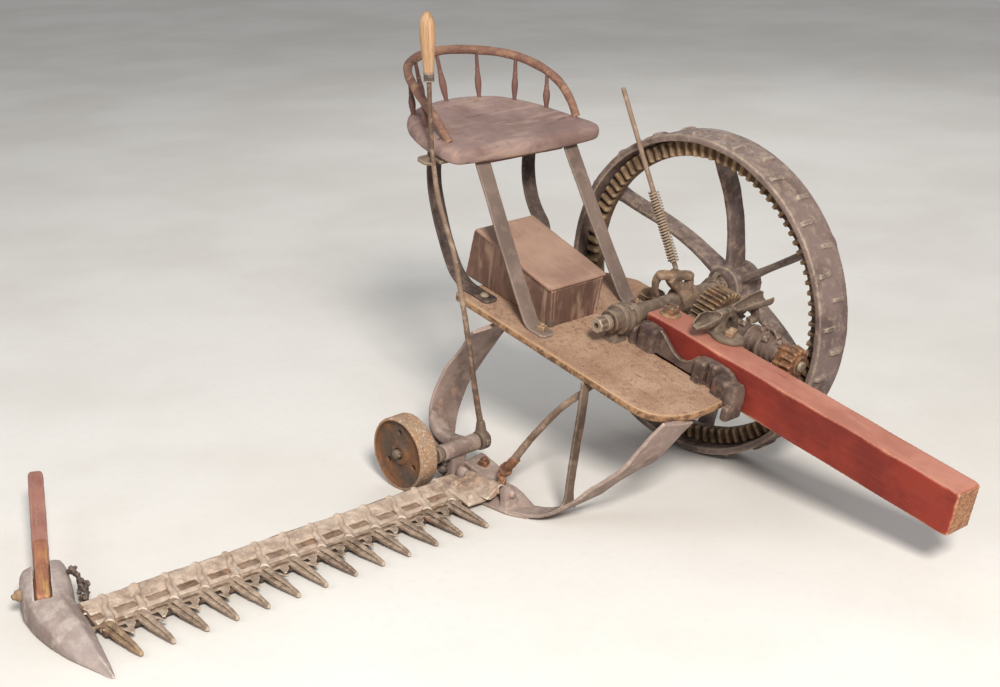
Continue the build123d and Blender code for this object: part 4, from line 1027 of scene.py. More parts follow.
def slab(kk, poly, w0, w1, r0=5.0, r1=6.0, n=4):
    """Board of this outline with rounded lower and upper edges."""
    rings = []
    for j in range(n + 1):
        a = pi / 2 * j / n
        rings.append([(x, y, w0 + r0 - r0 * cos(a)) for x, y in inset(poly, r0 - r0 * sin(a))])
    for j in range(n + 1):
        a = pi / 2 * j / n
        rings.append([(x, y, w1 - r1 + r1 * sin(a)) for x, y in inset(poly, r1 - r1 * cos(a))])
    kk.rings(rings)


FRONT_ARC = [(446, 236), (444, 262), (438, 284), (427, 302), (410, 317), (390, 329), (364, 338), (330, 344), (290, 345), (250, 342), (208, 338)]
PLANK = [(446, -372)] + FRONT_ARC + [(208, 14), (-56, 14), (-56, -214), (52, -384), (434, -384)]
k = Kit(CH)
slab(k, PLANK, -80, -60, 5, 5)
wooden("platform_board", k, "chassis", WOOD_PLATFORM, stands=("platform",), voxel=3.0, smooth=1, rough=(0.6, 55), seed=21)

# nails and screws in the platform
k = Kit(CH)
for x, u in ((330, 12), (418, -232), (300, -96), (250, -60), (420, 60), (232, 250), (380, 280), (-20, -60), (60, -200), (60, -330)):
    k.lathe((x, u, -60.6), (0, 0, 1), ((0, 4.2), (1.2, 4.0), (1.9, 2.6), (2.1, 0.6)), seg=12)
piece("platform_nails", k, "chassis", STEEL_WORN, seed=22)

# casting under the platform that carries the axle and the tongue
k = Kit(CH)
k.rbox(60, 300, -40, 60, -110, -90.6, 8)
k.rbox(60, 112, 40, 298, -110, -90.6, 7)
k.rbox(196, 298, 40, 298, -110, -90.6, 7)
k.rbox(60, 298, 240, 298, -110, -90.6, 7)
k.rbox(232, 298, -148, 10, -110, -80.6, 7)
k.rbox(62, 240, -148, -38, -110, -80.6, 7)
k.rbox(-28, 64, -118, 8, -110, -80.6, 7)
for u in (-10, 120, 210, 280):
    k.nut((84, u, -110), (0, 0, -1), 20, 9, stud=6, stud_h=4)
    k.nut((246, u, -110), (0, 0, -1), 20, 9, stud=6, stud_h=4)
piece("frame_casting_body", k, "chassis", IRON_DARK, stands=("frame_casting",), voxel=3.0, smooth=3, rough=(0.8, 30), seed=23)

# ------------------------------------------------------------------ toolbox (CH frame)
BOX_B, BOX_T, TOP_W = (190, 353, -444, -125), (176, 366, -420, -134), 100.0
SEAM = atan2(40, 286)


def box_at(w, ins=0.0):
    t = (w + 59.8) / (TOP_W + 59.8)
    return (lerp(BOX_B[0], BOX_T[0], t) + ins, lerp(BOX_B[1], BOX_T[1], t) - ins, lerp(BOX_B[2], BOX_T[2], t) + ins, lerp(BOX_B[3], BOX_T[3], t) - ins)


def seam_w(u):
    return 38 + (-134 - u) * tan(SEAM)


def panel(kk, side, t_out, t_in, ins_a=0.0, ins_b=0.0, lo=-59.6):
    """One wall of the tapered box, cut off at the seam."""
    rows = 10
    outer, inner = [], []
    rings = []
    for j in range(rows + 1):
        f = j / rows

        def corner(end, dep):
            # the wall's corner at this height: top follows the sloping seam
            if side in "FR":
                u_ref = BOX_T[3] if side == "F" else BOX_T[2]
                w = lerp(lo, seam_w(u_ref) - 0.3, f)
                x0, x1, u0, u1 = box_at(w)
                u = (u1 - dep) if side == "F" else (u0 + dep)
                x = (x0 + ins_a) if end == 0 else (x1 - ins_b)
                return (x, u, w)
            u_ref = BOX_T[2] if end == 0 else BOX_T[3]
            w = lerp(lo, seam_w(u_ref) - 0.3, f)
            x0, x1, u0, u1 = box_at(w)
            x = (x1 - dep) if side == "P" else (x0 + dep)
            u = (u0 + ins_a) if end == 0 else (u1 - ins_b)
            return (x, u, w)

        rings.append([corner(0, t_out), corner(1, t_out), corner(1, t_in), corner(0, t_in)])
    kk.rings(rings)


k = Kit(CH)
panel(k, "P", 0, 9, 0, 0)
panel(k, "N", 0, 9, 0, 0)
wooden("toolbox_sides", k, "chassis", WOOD_BOX, stands=("toolbox",), voxel=2.2, smooth=1, rough=(0.35, 40), seed=24)
k = Kit(CH)
panel(k, "F", 0.6, 10, 10.2, 10.2)
panel(k, "R", 0.6, 10, 10.2, 10.2)
wooden("toolbox_ends", k, "chassis", WOOD_BOX, voxel=2.2, smooth=1, rough=(0.35, 40), seed=25)
k = Kit(CH)
x0, x1, u0, u1 = box_at(-55)
k.rbox(x0 + 9.6, x1 - 9.6, u0 + 10.4, u1 - 10.4, -59.4, -50.2, 1)
wooden("toolbox_floor", k, "chassis", WOOD_BOX, voxel=2.6, smooth=1, rough=(0.3, 40), seed=26)
k = Kit(CH)
SP = Matrix.Translation((0, -134, 38)) @ Matrix.Rotation(-SEAM, 4, "X")
L = 286 / cos(SEAM)
q = k.at(SP)
ol = [(172, -L + 4), (369, -L + 4), (369, 3), (172, 3)]
fine = []
for i in range(4):
    a, b = ol[i], ol[(i + 1) % 4]
    for j in range(8):
        fine.append((lerp(a[0], b[0], j / 8), lerp(a[1], b[1], j / 8)))
rings = []
for z, ins in ((0.7, 2.0), (1.5, 0.7), (3, 0), (6.4, 0), (8.2, 0.8), (9.2, 2.2), (9.9, 3.2), (11.4, 4.6), (12.4, 8), (12.7, 12), (12.7, 40)):
    rings.append([(x, y, z) for x, y in inset(fine, ins)])
q.rings(rings)
wooden("toolbox_lid_board", k, "toolbox_lid", WOOD_LID, stands=("toolbox_lid",), voxel=2.0, smooth=1, rough=(0.4, 45), seed=27)
# small iron corner and the nails of the box
k = Kit(CH)
x0, x1, u0, u1 = box_at(-50)
k.rbox(x1 - 16, x1 + 1.3, u1 - 1.0, u1 + 1.4, -59.4, -40, 0.6)
k.rbox(x1 - 1.0, x1 + 1.4, u1 - 14, u1 + 1.3, -59.4, -42, 0.6)
for w in (-44, -16, 10):
    x0, x1, u0, u1 = box_at(w)
    for x in (x0 + 5, x1 - 5):
        k.lathe((x, u1 - 1.0, w), (0, 1, 0), ((0, 2.4), (1.3, 2.2), (1.7, 0.6)), seg=10)
    for x in (x0 + 5, x1 - 5):
        k.lathe((x, u0 + 1.0, w), (0, -1, 0), ((0, 2.4), (1.3, 2.2), (1.7, 0.6)), seg=10)
piece("toolbox_irons", k, "chassis", IRON_DARK, seed=28)

# ------------------------------------------------------------------ seat (CH frame)
SB, ST = 285.0, 325.0
SEAT = ((36, -372), (140, -367), (250, -368), (360, -374), (462, -384), (488, -394), (499, -418), (500, -470), (496, -520), (486, -560), (468, -602), (440, -638), (400, -664), (350, -680), (290, -688),
        (230, -687), (175, -676), (125, -652), (84, -614), (52, -560), (30, -500), (14, -450), (3, -412), (8, -384))
SCX, SCU = 255.0, -520.0


def closed(pts, per=4):
    """Smooth closed outline through the points."""
    n, out = len(pts), []
    for i in range(n):
        a, b, c, d = (Vector(pts[(i + j) % n]) for j in (-1, 0, 1, 2))
        for q in range(per):
            t = q / per
            out.append(tuple(0.5 * ((2 * b) + (c - a) * t + (2 * a - 5 * b + 4 * c - d) * t * t + (3 * b - a - 3 * c + d) * t ** 3)))
    return out


def groove(ob, m, path, width, depth, axis=2, above=None):
    """Presses a narrow groove into the surface along a path given in millimetres of frame m, seen along that axis."""
    me = ob.data
    n = len(me.vertices)
    co = np.zeros(n * 3, np.float32)
    me.vertices.foreach_get("co", co)
    no = np.zeros(n * 3, np.float32)
    me.vertices.foreach_get("normal", no)
    P, Q = co.reshape(-1, 3).astype(float), no.reshape(-1, 3).astype(float)
    inv = np.array(m.inverted())
    L = P @ inv[:3, :3].T + inv[:3, 3]
    keep = [q for q in (0, 1, 2) if q != axis]
    ok = np.ones(n, bool) if above is None else L[:, axis] > above
    best = np.full(n, 1e9)
    for a, b in zip(path[:-1], path[1:]):
        a, b = np.array(a, float), np.array(b, float)
        d = b - a
        t = np.clip(((L[:, keep] - a) @ d) / max(d @ d, 1e-9), 0, 1)
        best = np.minimum(best, np.linalg.norm(L[:, keep] - a - t[:, None] * d, axis=1))
    f = np.where(ok, np.exp(-(best / (width * 0.5)) ** 2), 0.0)
    P = P - Q * (f * depth / 1000)[:, None]
    me.vertices.foreach_set("co", P.astype(np.float32).ravel())
    me.update()


outline = closed(SEAT, 4)
k = Kit(CH)
rings = []
for w, ins in ((285, 12), (285.6, 8), (287.5, 4), (291, 1.4), (296, 0.2), (303, 0), (309, 0.4), (314, 1.8), (318.4, 4.6), (321.6, 9), (323.6, 15), (324.7, 22), (324.8, 32)):
    rings.append([(x, y, w) for x, y in inset(outline, ins)])
for f, w in ((0.72, 323.4), (0.55, 321.4), (0.36, 320.4), (0.16, 320.2)):
    rings.append([(SCX + (x - SCX) * f, SCU + (y - SCU) * f, w) for x, y in outline])
k.rings(rings)
seat = wooden("seat_plank", k, "chassis", WOOD_SEAT, stands=("seat_board",), voxel=2.5, smooth=2, rough=(0.75, 75), seed=31)
groove(seat, CH, [(409, -527), (411, -514), (405, -501), (397, -491), (391, -484)], 4.5, 2.6, above=300)
groove(seat, CH, [(404, -463), (408, -450), (402, -437), (393, -424), (384, -411)], 4.5, 2.6, above=300)
groove(seat, CH, [(396, -440), (404, -428), (402, -420)], 3.2, 1.6, above=300)
groove(seat, CH, [(96, -436), (70, -440), (42, -436), (22, -440)], 2.6, 3.0, above=300)
groove(seat, CH, [(60, -470), (40, -474), (26, -470)], 2.4, 2.2, above=300)
groove(seat, CH, [(480, -402), (380, -394), (300, -391), (180, -386), (70, -392)], 5.0, 0.9, above=300)

RAIL = [(469, -446, 322), (471, -500, 361), (468, -556, 388), (458, -610, 406), (440, -656, 419), (408, -694, 429), (356, -716, 436), (300, -722, 439), (240, -718, 439), (178, -700, 436),
        (118, -668, 433), (78, -622, 427), (53, -568, 414), (39, -519, 393), (32, -478, 359), (29, -452, 322)]
rail = spline(RAIL, 7)
nr = len(rail)
k = Kit(CH)
k.tube(rail, [10.6 + 1.0 * sin(pi * i / nr) + 0.3 * sin(i * 0.8) for i in range(nr)], seg=22, up=(0, 0, 1), sx=1.06, sy=0.96)
hoop = wooden("seat_hoop", k, "chassis", WOOD_HOOP, stands=("seat_rail",), voxel=1.8, smooth=2, rough=(0.5, 36), seed=32)
k = Kit(CH)
SPINDLES = (((462, -540), (466, -566, 391)), ((436, -622), (447, -643, 415)), ((368, -660), (376, -712, 434)), ((290, -664), (298, -722, 439)), ((186, -656), (178, -700, 436)),
            ((108, -604), (92, -640, 430)), ((62, -530), (50, -560, 410)))
VASE = ((0, 4.6), (0.03, 5.0), (0.10, 5.6), (0.18, 7.0), (0.27, 8.4), (0.36, 9.0), (0.45, 8.2), (0.53, 6.6), (0.575, 5.6), (0.59, 6.6), (0.615, 6.8), (0.63, 5.4), (0.70, 5.2), (0.80, 5.0), (0.90, 4.6), (1.0, 4.4))
for n, (foot, head) in enumerate(SPINDLES):
    foot, head = Vector((*foot, ST - 6)), Vector(head)
    d = head - foot
    L = d.length
    k.lathe(foot, d, [(f * L, r * (1 + 0.05 * sin(n * 2.2 + f * 3))) for f, r in VASE], seg=20)
    k.lathe(Vector((foot.x, foot.y, ST - 2.8)), (0, 0, 1), ((0, 7.6), (2.4, 7.0), (3.4, 4)), seg=16)
wooden("seat_spindle_set", k, "chassis", WOOD_SPINDLE, stands=("seat_spindles",), voxel=1.15, smooth=1, rough=(0.25, 20), seed=33)

k = Kit(CH)
k.rings([[(x, y, z) for x, y in inset([(108, -452), (376, -452), (380, -420), (364, -396), (124, -392), (104, -412)], i)] for z, i in ((269, 7), (270.4, 3), (273, 0.6), (276, 0), (284.8, 0))])
k.rbox(60, 436, -452, -418, 273, 284.8, 3)
k.rbox(60, 450, -610, -574, 271, 284.8, 4)
wooden("seat_batten_pair", k, "chassis", WOOD_SPINDLE, stands=("seat_battens",), voxel=2.2, smooth=1, rough=(0.5, 35), seed=34)

# ------------------------------------------------------------------ flat irons that carry the seat (CH frame)
STRAPS = {
    "front_right": [(391, -104, -56.3), (391, -136, -56.3), (391, -150, -52), (392, -160, -42), (392, -396, 270)],
    "front_left": [(66, -90, -56.3), (66, -122, -56.3), (67, -137, -52), (68, -148, -42), (98, -388, 270)],
    "rear_right": [(396, -306, -56.3), (396, -348, -56.3), (397, -380, -55.5), (398, -404, -48), (398, -436, -29), (398, -475, 16), (398, -518, 81), (398, -551, 147), (398, -566, 206), (398, -571, 270)],
    "rear_left": [(96, -290, -56.3), (96, -330, -56.3), (97, -366, -55), (97, -396, -38), (98, -424, -4), (98, -442, 34), (98, -472, 60), (98, -497, 90), (98, -519, 135), (98, -531, 190), (98, -535, 270)],
}
for n, (nm, st) in enumerate(STRAPS.items()):
    k = Kit(CH)
    if "front" in nm:
        path = [Vector(st[0]), lerp(Vector(st[0]), Vector(st[1]), 0.5)] + spline([st[1], st[2], st[3]], 5)
        last = Vector(st[3])
        for j in range(1, 30):
            f = j / 29
            path.append(lerp(last, Vector(st[4]), f) + Vector((0, -2.2 * sin(pi * f), -1.6 * sin(pi * f))))
    else:
        path = spline(st, 6)
    tip = Vector(st[0]) + Vector((0, 16, 0))
    path = [tip, lerp(tip, Vector(st[0]), 0.35), lerp(tip, Vector(st[0]), 0.7)] + path
    sc = [(0.55, 0.9), (0.86, 1), (1, 1)] + [(1 + 0.015 * sin(i * 0.5 + n), 1) for i in range(len(path) - 3)]
    # the top turns forward under the seat
    top = path[-1]
    path += [top + Vector((0, 4, 6.5)), top + Vector((0, 14, 10.5)), top + Vector((0, 46 if "rear" in nm else -30, 11))]
    if "front" in nm:
        path[-2] = top + Vector((0, -12, 10.0))
        path[-3] = top + Vector((0, -5, 6.5))
    sc += [(1, 1), (1, 0.95), (0.9, 0.9)]
    k.strip(path, rrect(46, 7, 2.2, 3), side=(1, 0, 0), scale=sc)
    # the rear irons take the darker iron as painted shade, for they stand in the shade under the seat
    piece("seat_iron_" + nm, k, "chassis", IRON_STRAP if "front" in nm else IRON_DARK, stands=("seat_strap_" + nm,), voxel=1.8, smooth=1, rough=(0.35, 45), seed=35 + n)
k = Kit(CH)
k.nut((391, -118, -52.6), (0, 0, 1), 22, 13, sides=4, turn=20, stud=6.5, stud_h=5)
k.nut((66, -104, -52.6), (0, 0, 1), 22, 12, sides=4, turn=-10, stud=6, stud_h=4)
piece("strap_nuts_front", k, "chassis", IRON_TAN, voxel=1.1, smooth=1, rough=(0.9, 8), seed=40)
k = Kit(CH)
for x in (396, 96):
    k.lathe((x, -322, -53), (0, 0, 1), ((0, 11), (3, 10.6), (6, 8), (8, 4), (8.6, 0.6)), seg=20)
piece("strap_bolts_rear", k, "chassis", IRON_BROWN, rough=(0.4, 10), seed=41)

# flat iron beside the seat that steadies the lift lever
k = Kit(CH)
GUIDE = [(452, -430), (452, -470), (456, -478), (470, -481), (520, -481), (536, -478), (545, -468), (545, -446), (540, -436), (530, -431), (528, -432), (528, -456), (504, -456), (504, -432), (500, -430)]
k.prism(GUIDE, Matrix.Identity(4), 277.2, 284.6)
piece("lever_guide_plate", k, "chassis", IRON_BROWN, stands=("lever_guide",), voxel=1.5, smooth=1, rough=(0.35, 18), seed=42)

# ------------------------------------------------------------------ lift lever (MA frame)
k = Kit(MA)
LEVER = [(472, -266, 132), (475, -265.5, 150), (487, -264, 215), (496, -268, 300), (502, -274, 385), (507, -290, 495), (510, -308, 585), (514, -350, 700), (515, -367, 800), (517, -370, 880), (517, -370, 996)]
lv = spline(LEVER, 6)
nl = len(lv)
k.tube(lv, [table_at(((0, 11), (0.04, 9.5), (0.10, 8.0), (0.5, 6.8), (0.8, 6.2), (1, 5.8)), i / (nl - 1))[0] for i in range(nl)], seg=16)
piece("lift_lever_rod", k, "lift_lever", IRON_ROD, stands=("lift_lever",), voxel=1.7, smooth=1, rough=(0.35, 26), seed=43)
k = Kit(MA)
k.ring((517, -370, 990.5), (0, 0, 1), [(5.4, 0), (12.4, 0), (13.2, 0.8), (13.2, 3), (12.7, 3.6), (12.7, 17.5), (13.3, 18.3), (13.3, 20.6), (12.6, 21.4), (5.4, 21.4)], seg=36)
piece("lever_ferrule_ring", k, "lift_lever", IRON_GREY, stands=("lever_ferrule",), rough=(0.2, 14), seed=44)
k = Kit(MA)
HANDLE = ((0, 12.2), (1, 13.0), (14, 13.4), (34, 15.0), (58, 17.3), (80, 19.0), (98, 19.5), (112, 18.9), (124, 16.8), (134, 12.8), (140, 8.8), (143, 5), (144, 1.5))
k.lathe((517, -370, 1011.9), (0, 0, 1), HANDLE, seg=40)
wooden("lever_handle_turned", k, "lift_lever", WOOD_HANDLE, stands=("lever_handle",), voxel=1.5, smooth=2, rough=(0.3, 30), seed=45)

CY, CZ, GY, GR = -266.0, 94.0, -340.0, 94.0
k = Kit(MA)
k.ring((0, CY, CZ), (1, 0, 0), [(14.4, 458), (23, 458), (25, 460), (25, 482), (23, 484), (14.4, 484)], seg=40)
k.strip([(472, CY, CZ + 20), (472, CY, CZ + 32), (472, CY, CZ + 44), (473, CY, CZ + 52)], rrect(22, 24, 7, 4), side=(1, 0, 0), scale=[(1, 1.25), (0.95, 1.05), (0.86, 0.9), (0.7, 0.72)])
k.nut((472, CY + 23, CZ), (0, 1, 0), 14, 8, sides=4, stud=4)
piece("lever_boss_cast", k, "lift_lever", IRON_BROWN, stands=("lever_boss",), voxel=1.4, smooth=2, rough=(0.4, 14), seed=46)
k = Kit(MA)
k.lathe((449, CY, CZ), (1, 0, 0), ((0, 6), (1, 9), (6, 11), (9, 13.6), (12, 14), (160, 14)), seg=32)
k.nut((455, CY, CZ), (-1, 0, 0), 24, 7, sides=6)
arm = []
for a in range(-90, 91, 20):
    arm.append((CY + 21 * cos(radians(a)), CZ + 21 * sin(radians(a))))
for a in range(90, 271, 20):
    arm.append((GY + 19 * cos(radians(a)), GR + 19 * sin(radians(a))))
k.prism(arm, Matrix(((0, 0, 1, 0), (1, 0, 0, 0), (0, 1, 0, 0), (0, 0, 0, 1))), 609, 623.5)
k.lathe((620, GY, GR), (1, 0, 0), ((0, 13), (66, 13), (69, 12), (73, 9), (74, 3)), seg=28)
k.cyl((688, GY - 15, GR), (688, GY + 15, GR), 2.4, seg=10)
piece("crank_axle_bar", k, "lift_lever", IRON_BROWN, stands=("crank_axle",), voxel=1.7, smooth=1, rough=(0.35, 18), seed=47)

# ------------------------------------------------------------------ gauge wheel (MA frame)
k = Kit(MA)
SEC = [(14.8, 630.2), (27, 630.2), (29, 632), (29, 640), (32, 644), (50, 646), (78, 648), (82, 644), (84, 634), (86, 632.2), (92, 632), (93.6, 634), (94, 640), (93.8, 660),
       (93.2, 680), (91.5, 684.2), (86.5, 685), (85.4, 683), (84.5, 676.5), (82, 674), (60, 673.4), (40, 673.6), (31, 675), (27, 680.5), (24, 681.4), (14.8, 681.4)]
SEG = 96
m = frame_at((0, GY, GR), (1, 0, 0))
k.ring((0, GY, GR), (1, 0, 0), SEC, seg=SEG)
gw = to_mesh("cutter_tmp", k)
holes = Kit(MA)
for a in (91, 211, 331):
    holes.cyl((620, GY + 54 * cos(radians(a)), GR + 54 * sin(radians(a))), (700, GY + 54 * cos(radians(a)), GR + 54 * sin(radians(a))), 7.2, seg=20)
cut = to_mesh("holes_tmp", holes)
md = gw.modifiers.new("h", "BOOLEAN")
md.operation, md.object, md.solver = "DIFFERENCE", cut, "EXACT"
md = gw.modifiers.new("r", "REMESH")
md.mode, md.voxel_size = "VOXEL", 0.0016
md = gw.modifiers.new("s", "SMOOTH")
md.factor, md.iterations = 0.5, 1
bake_mods(gw)
bpy.data.objects.remove(cut)
gw.name = "gauge_wheel_cast"
weather(gw, 0.0006, 45, 48)
gw.data.shade_smooth()


def rim_flakes():
    """Orange rusty disc, with a pale flaking rim where it runs on the ground."""
    g = Graph("iron_gauge")
    v = g.mapping(g.obj, loc=(0.7, 1.9, 0.4))
    q = g.mapping(g.obj, loc=(OX, OY + 0.340, -0.094))
    n = g.node("ShaderNodeSeparateXYZ")
    g.put(n.inputs[0], q)
    rr = g.math("SQRT", g.math("ADD", g.math("MULTIPLY", n.outputs[1], n.outputs[1]), g.math("MULTIPLY", n.outputs[2], n.outputs[2])))
    a = g.noise(v, 16, 6, 0.6, 0.4)
    b = g.noise(v, 60, 6, 0.65)
    c = g.noise(v, 220, 5, 0.7)
    d = g.noise(v, 150, 6, 0.75, 0.6)
    web = g.mix(g.step(a, 0.42, 0.60), srgb(84, 70, 60), srgb(112, 78, 54))
    web = g.mix(g.step(b, 0.52, 0.66, 0, 0.55), web, srgb(140, 88, 54))
    web = g.mix(g.step(c, 0.52, 0.68, 0, 0.7), web, srgb(62, 48, 42))
    tread = g.mix(g.step(a, 0.36, 0.60), srgb(146, 124, 106), srgb(158, 126, 98))
    tread = g.mix(g.step(b, 0.50, 0.64, 0, 0.6), tread, srgb(146, 98, 66))
    tread = g.mix(g.step(d, 0.53, 0.62, 0, 0.75), tread, srgb(204, 190, 174))
    tread = g.mix(g.step(c, 0.60, 0.70, 0, 0.6), tread, srgb(104, 76, 58))
    col = g.mix(g.step(rr, 0.0850, 0.0905), web, tread)
    pt = g.geo.outputs["Pointiness"]
    col = g.mix(g.step(pt, 0.52, 0.57, 0, 0.55), col, srgb(176, 134, 96))
    # painted shade: hollows darkened towards near black
    col = g.mix(g.step(pt, 0.42, 0.49, 0.8, 0), col, srgb(52, 40, 34))
    h = g.math("ADD", c, g.math("MULTIPLY", b, 0.8))
    return g.done(col, g.step(b, 0.3, 0.7, 0.9, 0.65), g.bump(h, 0.8, 0.0014), 0.0, 0.25)


gw.data.materials.clear()
gw.data.materials.append(rim_flakes())
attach(gw, "gauge_wheel")
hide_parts("gauge_wheel")
# ------------------------------------------------------------------ runner, shoe, sleeve and braces (MA frame)
RUN_FRONT = ((387, 315, 271, 136), (400, 293, 241, 134), (415, 273, 210, 130), (440, 237, 160, 124), (475, 169, 101, 108), (500, 128, 63, 94), (530, 74, 26, 76), (552, 26, 10, 64), (566, -30, 5.6, 58))
RUN_REAR = ((420, -260, 388, 124), (400, -312, 352, 130), (396, -362, 296, 132), (413, -400, 240, 130), (434, -420, 185, 110), (466, -416, 130, 90), (492, -392, 84, 72), (518, -352, 42, 64), (536, -312, 16, 60), (548, -274, 6.8, 58))
BLADE = [(-29, -3.4), (-28, -4.6), (-24, -5.0), (0, -5.0), (24, -5.0), (28, -4.6), (29, -3.4), (29, 3.2), (28, 4.4), (24, 5.0), (12, 6.0), (0, 6.4), (-12, 6.0), (-24, 5.0), (-28, 4.4), (-29, 3.2)]
for n, (nm, st) in enumerate((("front", RUN_FRONT), ("rear", RUN_REAR))):
    k = Kit(MA)
    pts = spline([p[:3] for p in st], 8)
    per = len(pts) - 1
    sc = []
    for i in range(len(pts)):
        f = i / per * (len(st) - 1)
        j = min(int(f), len(st) - 2)
        w = lerp(st[j][3], st[j + 1][3], f - j)
        sc.append((w / 58 * (1 + 0.012 * sin(i * 0.35)), 1))
    k.strip(pts, BLADE, side=(1, 0.0, 0), scale=sc)
    piece("runner_%s_iron" % nm, k, "chassis", IRON_SHOE, stands=("runner_" + nm,), voxel=2.3, smooth=2, rough=(0.8, 55), seed=51 + n)

# inner shoe: sole, raised apron, top plate and the two low ears of the fold pin
BT = Matrix.Translation((0, -135, 12)) @ Matrix.Rotation(radians(-13.5), 4, "X") @ Matrix.Translation((0, 135, -12))
k = Kit(MA)
k.strip([(564, y, 5.6) for y in range(-276, -20, 16)], [(-40, -4), (-37, -5), (37, -5), (40, -4), (40, 2.5), (37, 4), (0, 4.6), (-37, 4), (-40, 2.5)], side=(1, 0, 0))
b = Kit(BA, (k.v, k.f))
rings = []
for t_, h, so, si in ((-268, 30, 16, -44), (-246, 36, 18, -50), (-212, 37, 18, -52), (-176, 37, 20, -52), (-140, 39, 22, -53), (-110, 40, 25, -55), (-86, 38, 27, -56), (-64, 31, 28, -56), (-44, 23, 27, -55), (-22, 15.5, 24, -52), (2, 11, 14, -47), (20, 10, 6, -44)):
    lip = 5 + 0.10 * h
    rings.append([(si + 3, t_, 1.2), (so - 3, t_, 1.2), (so, t_, 3), (so - 1, t_, lip), (so - 9, t_, lip + 2.0), (so - 20, t_, min(17, lip + 0.22 * h)), (min(-20, so - 44), t_, lip + 0.45 * (h - lip)), (min(-28, so - 52), t_, h - 2), (-40, t_, h), (si + 4, t_, h - 2.5), (si, t_, h - 8), (si, t_, 5)])
b.rings(rings)
# flat plate that carries on the bar's line behind the pin
pl = b.at(BT)
POLY = [(-28.5, -262), (-60, -270), (-96, -276), (-99, -262), (-95, -200), (-88, -184), (-60, -160), (-34, -146), (-28.5, -150)]
pl.rings([[(x, y, z) for x, y in inset(POLY, i)] for z, i in ((15, 3), (16.5, 0.8), (20, 0), (26, 0), (28, 0.6), (29.3, 2.2), (29.8, 5))])
for x, y in ((-62, -226),):
    pl.lathe((x, y, 29), (0, 0, 1), ((0, 17), (1.5, 16.4), (2.6, 13)), seg=24)
# ears of the pin
for t_, w in ((-226, 27), (-58, 28)):
    rr = []
    for z, s0, s1, d in ((3, -36, 20, 1.25), (14, -30, 17, 1.12), (26, -23, 16.5, 1.0), (36, -18.5, 17, 0.98), (45, -17, 17, 0.98), (52, -14.5, 14.5, 0.94), (58, -9, 9, 0.84), (61, -4.5, 4.5, 0.7)):
        rr.append([((s0 + s1) / 2 + x, t_ + y, z) for x, y in rrect(s1 - s0, w * d, min(8, (s1 - s0) / 2.2), 4)])
    b.rings(rr)
    b.lathe((0, t_ - w * 0.5 - 1.5, 45), (0, 1, 0), ((0, 10), (1, 12), (w + 2, 12), (w + 3, 10)), seg=24)
b.lathe((0, -42, 45), (0, 1, 0), ((0, 8), (5, 8), (7, 6), (8, 2)), seg=18)
piece("inner_shoe_cast", k, "chassis", IRON_SHOE, stands=("inner_shoe",), voxel=1.9, smooth=4, rough=(0.7, 34), seed=53)
k = Kit(BA)
pl = k.at(BT)
pl.nut((-62, -226, 30.5), (0, 0, 1), 23, 14, sides=4, turn=24, stud=7.5, stud_h=7)
piece("shoe_square_nut", k, "chassis", IRON_RUST, voxel=1.1, smooth=2, rough=(1.4, 9), seed=57)

k = Kit(MA)
k.ring((0, CY, CZ), (1, 0, 0), [(14.3, 490), (19.5, 490), (21.5, 491.5), (22, 496), (21.6, 504), (21.2, 590), (22, 596), (21, 602), (19, 604), (14.3, 604)], seg=48)
k.strip(spline([(556, CY - 3, CZ - 10), (554, CY - 4, 62), (550, CY - 6, 36), (546, CY - 8, 12)], 6), rrect(60, 34, 10, 4), side=(1, 0, 0),
        scale=[(table_at(((0, 0.95), (0.3, 0.72), (0.7, 0.95), (1, 1.35)), i / 18)[0], lerp(0.8, 1.25, i / 18)) for i in range(19)])
ap = spline([(522, CY - 4, 94), (521, -292, 92), (518, -330, 90), (512, -366, 96), (498, -398, 112), (486, -408, 122)], 6)
k.strip(ap, rrect(44, 34, 12, 4), side=(1, 0, 0.25), scale=[(lerp(0.95, 1.45, (i / (len(ap) - 1)) ** 1.6), lerp(1.15, 0.62, i / (len(ap) - 1))) for i in range(len(ap))])
k.strip(spline([(532, CY - 16, 70), (530, -306, 58), (526, -342, 50)], 6), rrect(40, 22, 8, 4), side=(1, 0, 0), scale=[(1, lerp(1.5, 0.9, i / 12)) for i in range(13)])
piece("axle_sleeve_cast", k, "chassis", IRON_SHOE, stands=("axle_sleeve",), voxel=1.8, smooth=4, rough=(0.55, 30), seed=54)
# torn lump of iron between the sleeve and the little wheel
k = Kit(MA)
for i, (x, y, z, rx, ry, rz) in enumerate(((592, -286, 72, 13, 15, 17), (585, -291, 52, 14, 17, 15), (594, -276, 47, 12, 13, 10), (576, -298, 38, 15, 14, 12), (597, -290, 84, 8, 10, 8), (590, -270, 66, 9, 8, 11))):
    k.ball((x, y, z), rx, ry, rz, seg=9 + i % 3, rows=6)
k.strip([(574, -300, 30), (582, -296, 40), (594, -288, 62), (600, -284, 80)], rrect(9, 20, 2, 2), side=(0, 1, 0))
piece("sleeve_lump_torn", k, "chassis", IRON_DARK, voxel=1.7, smooth=1, rough=(2.4, 9), seed=58)

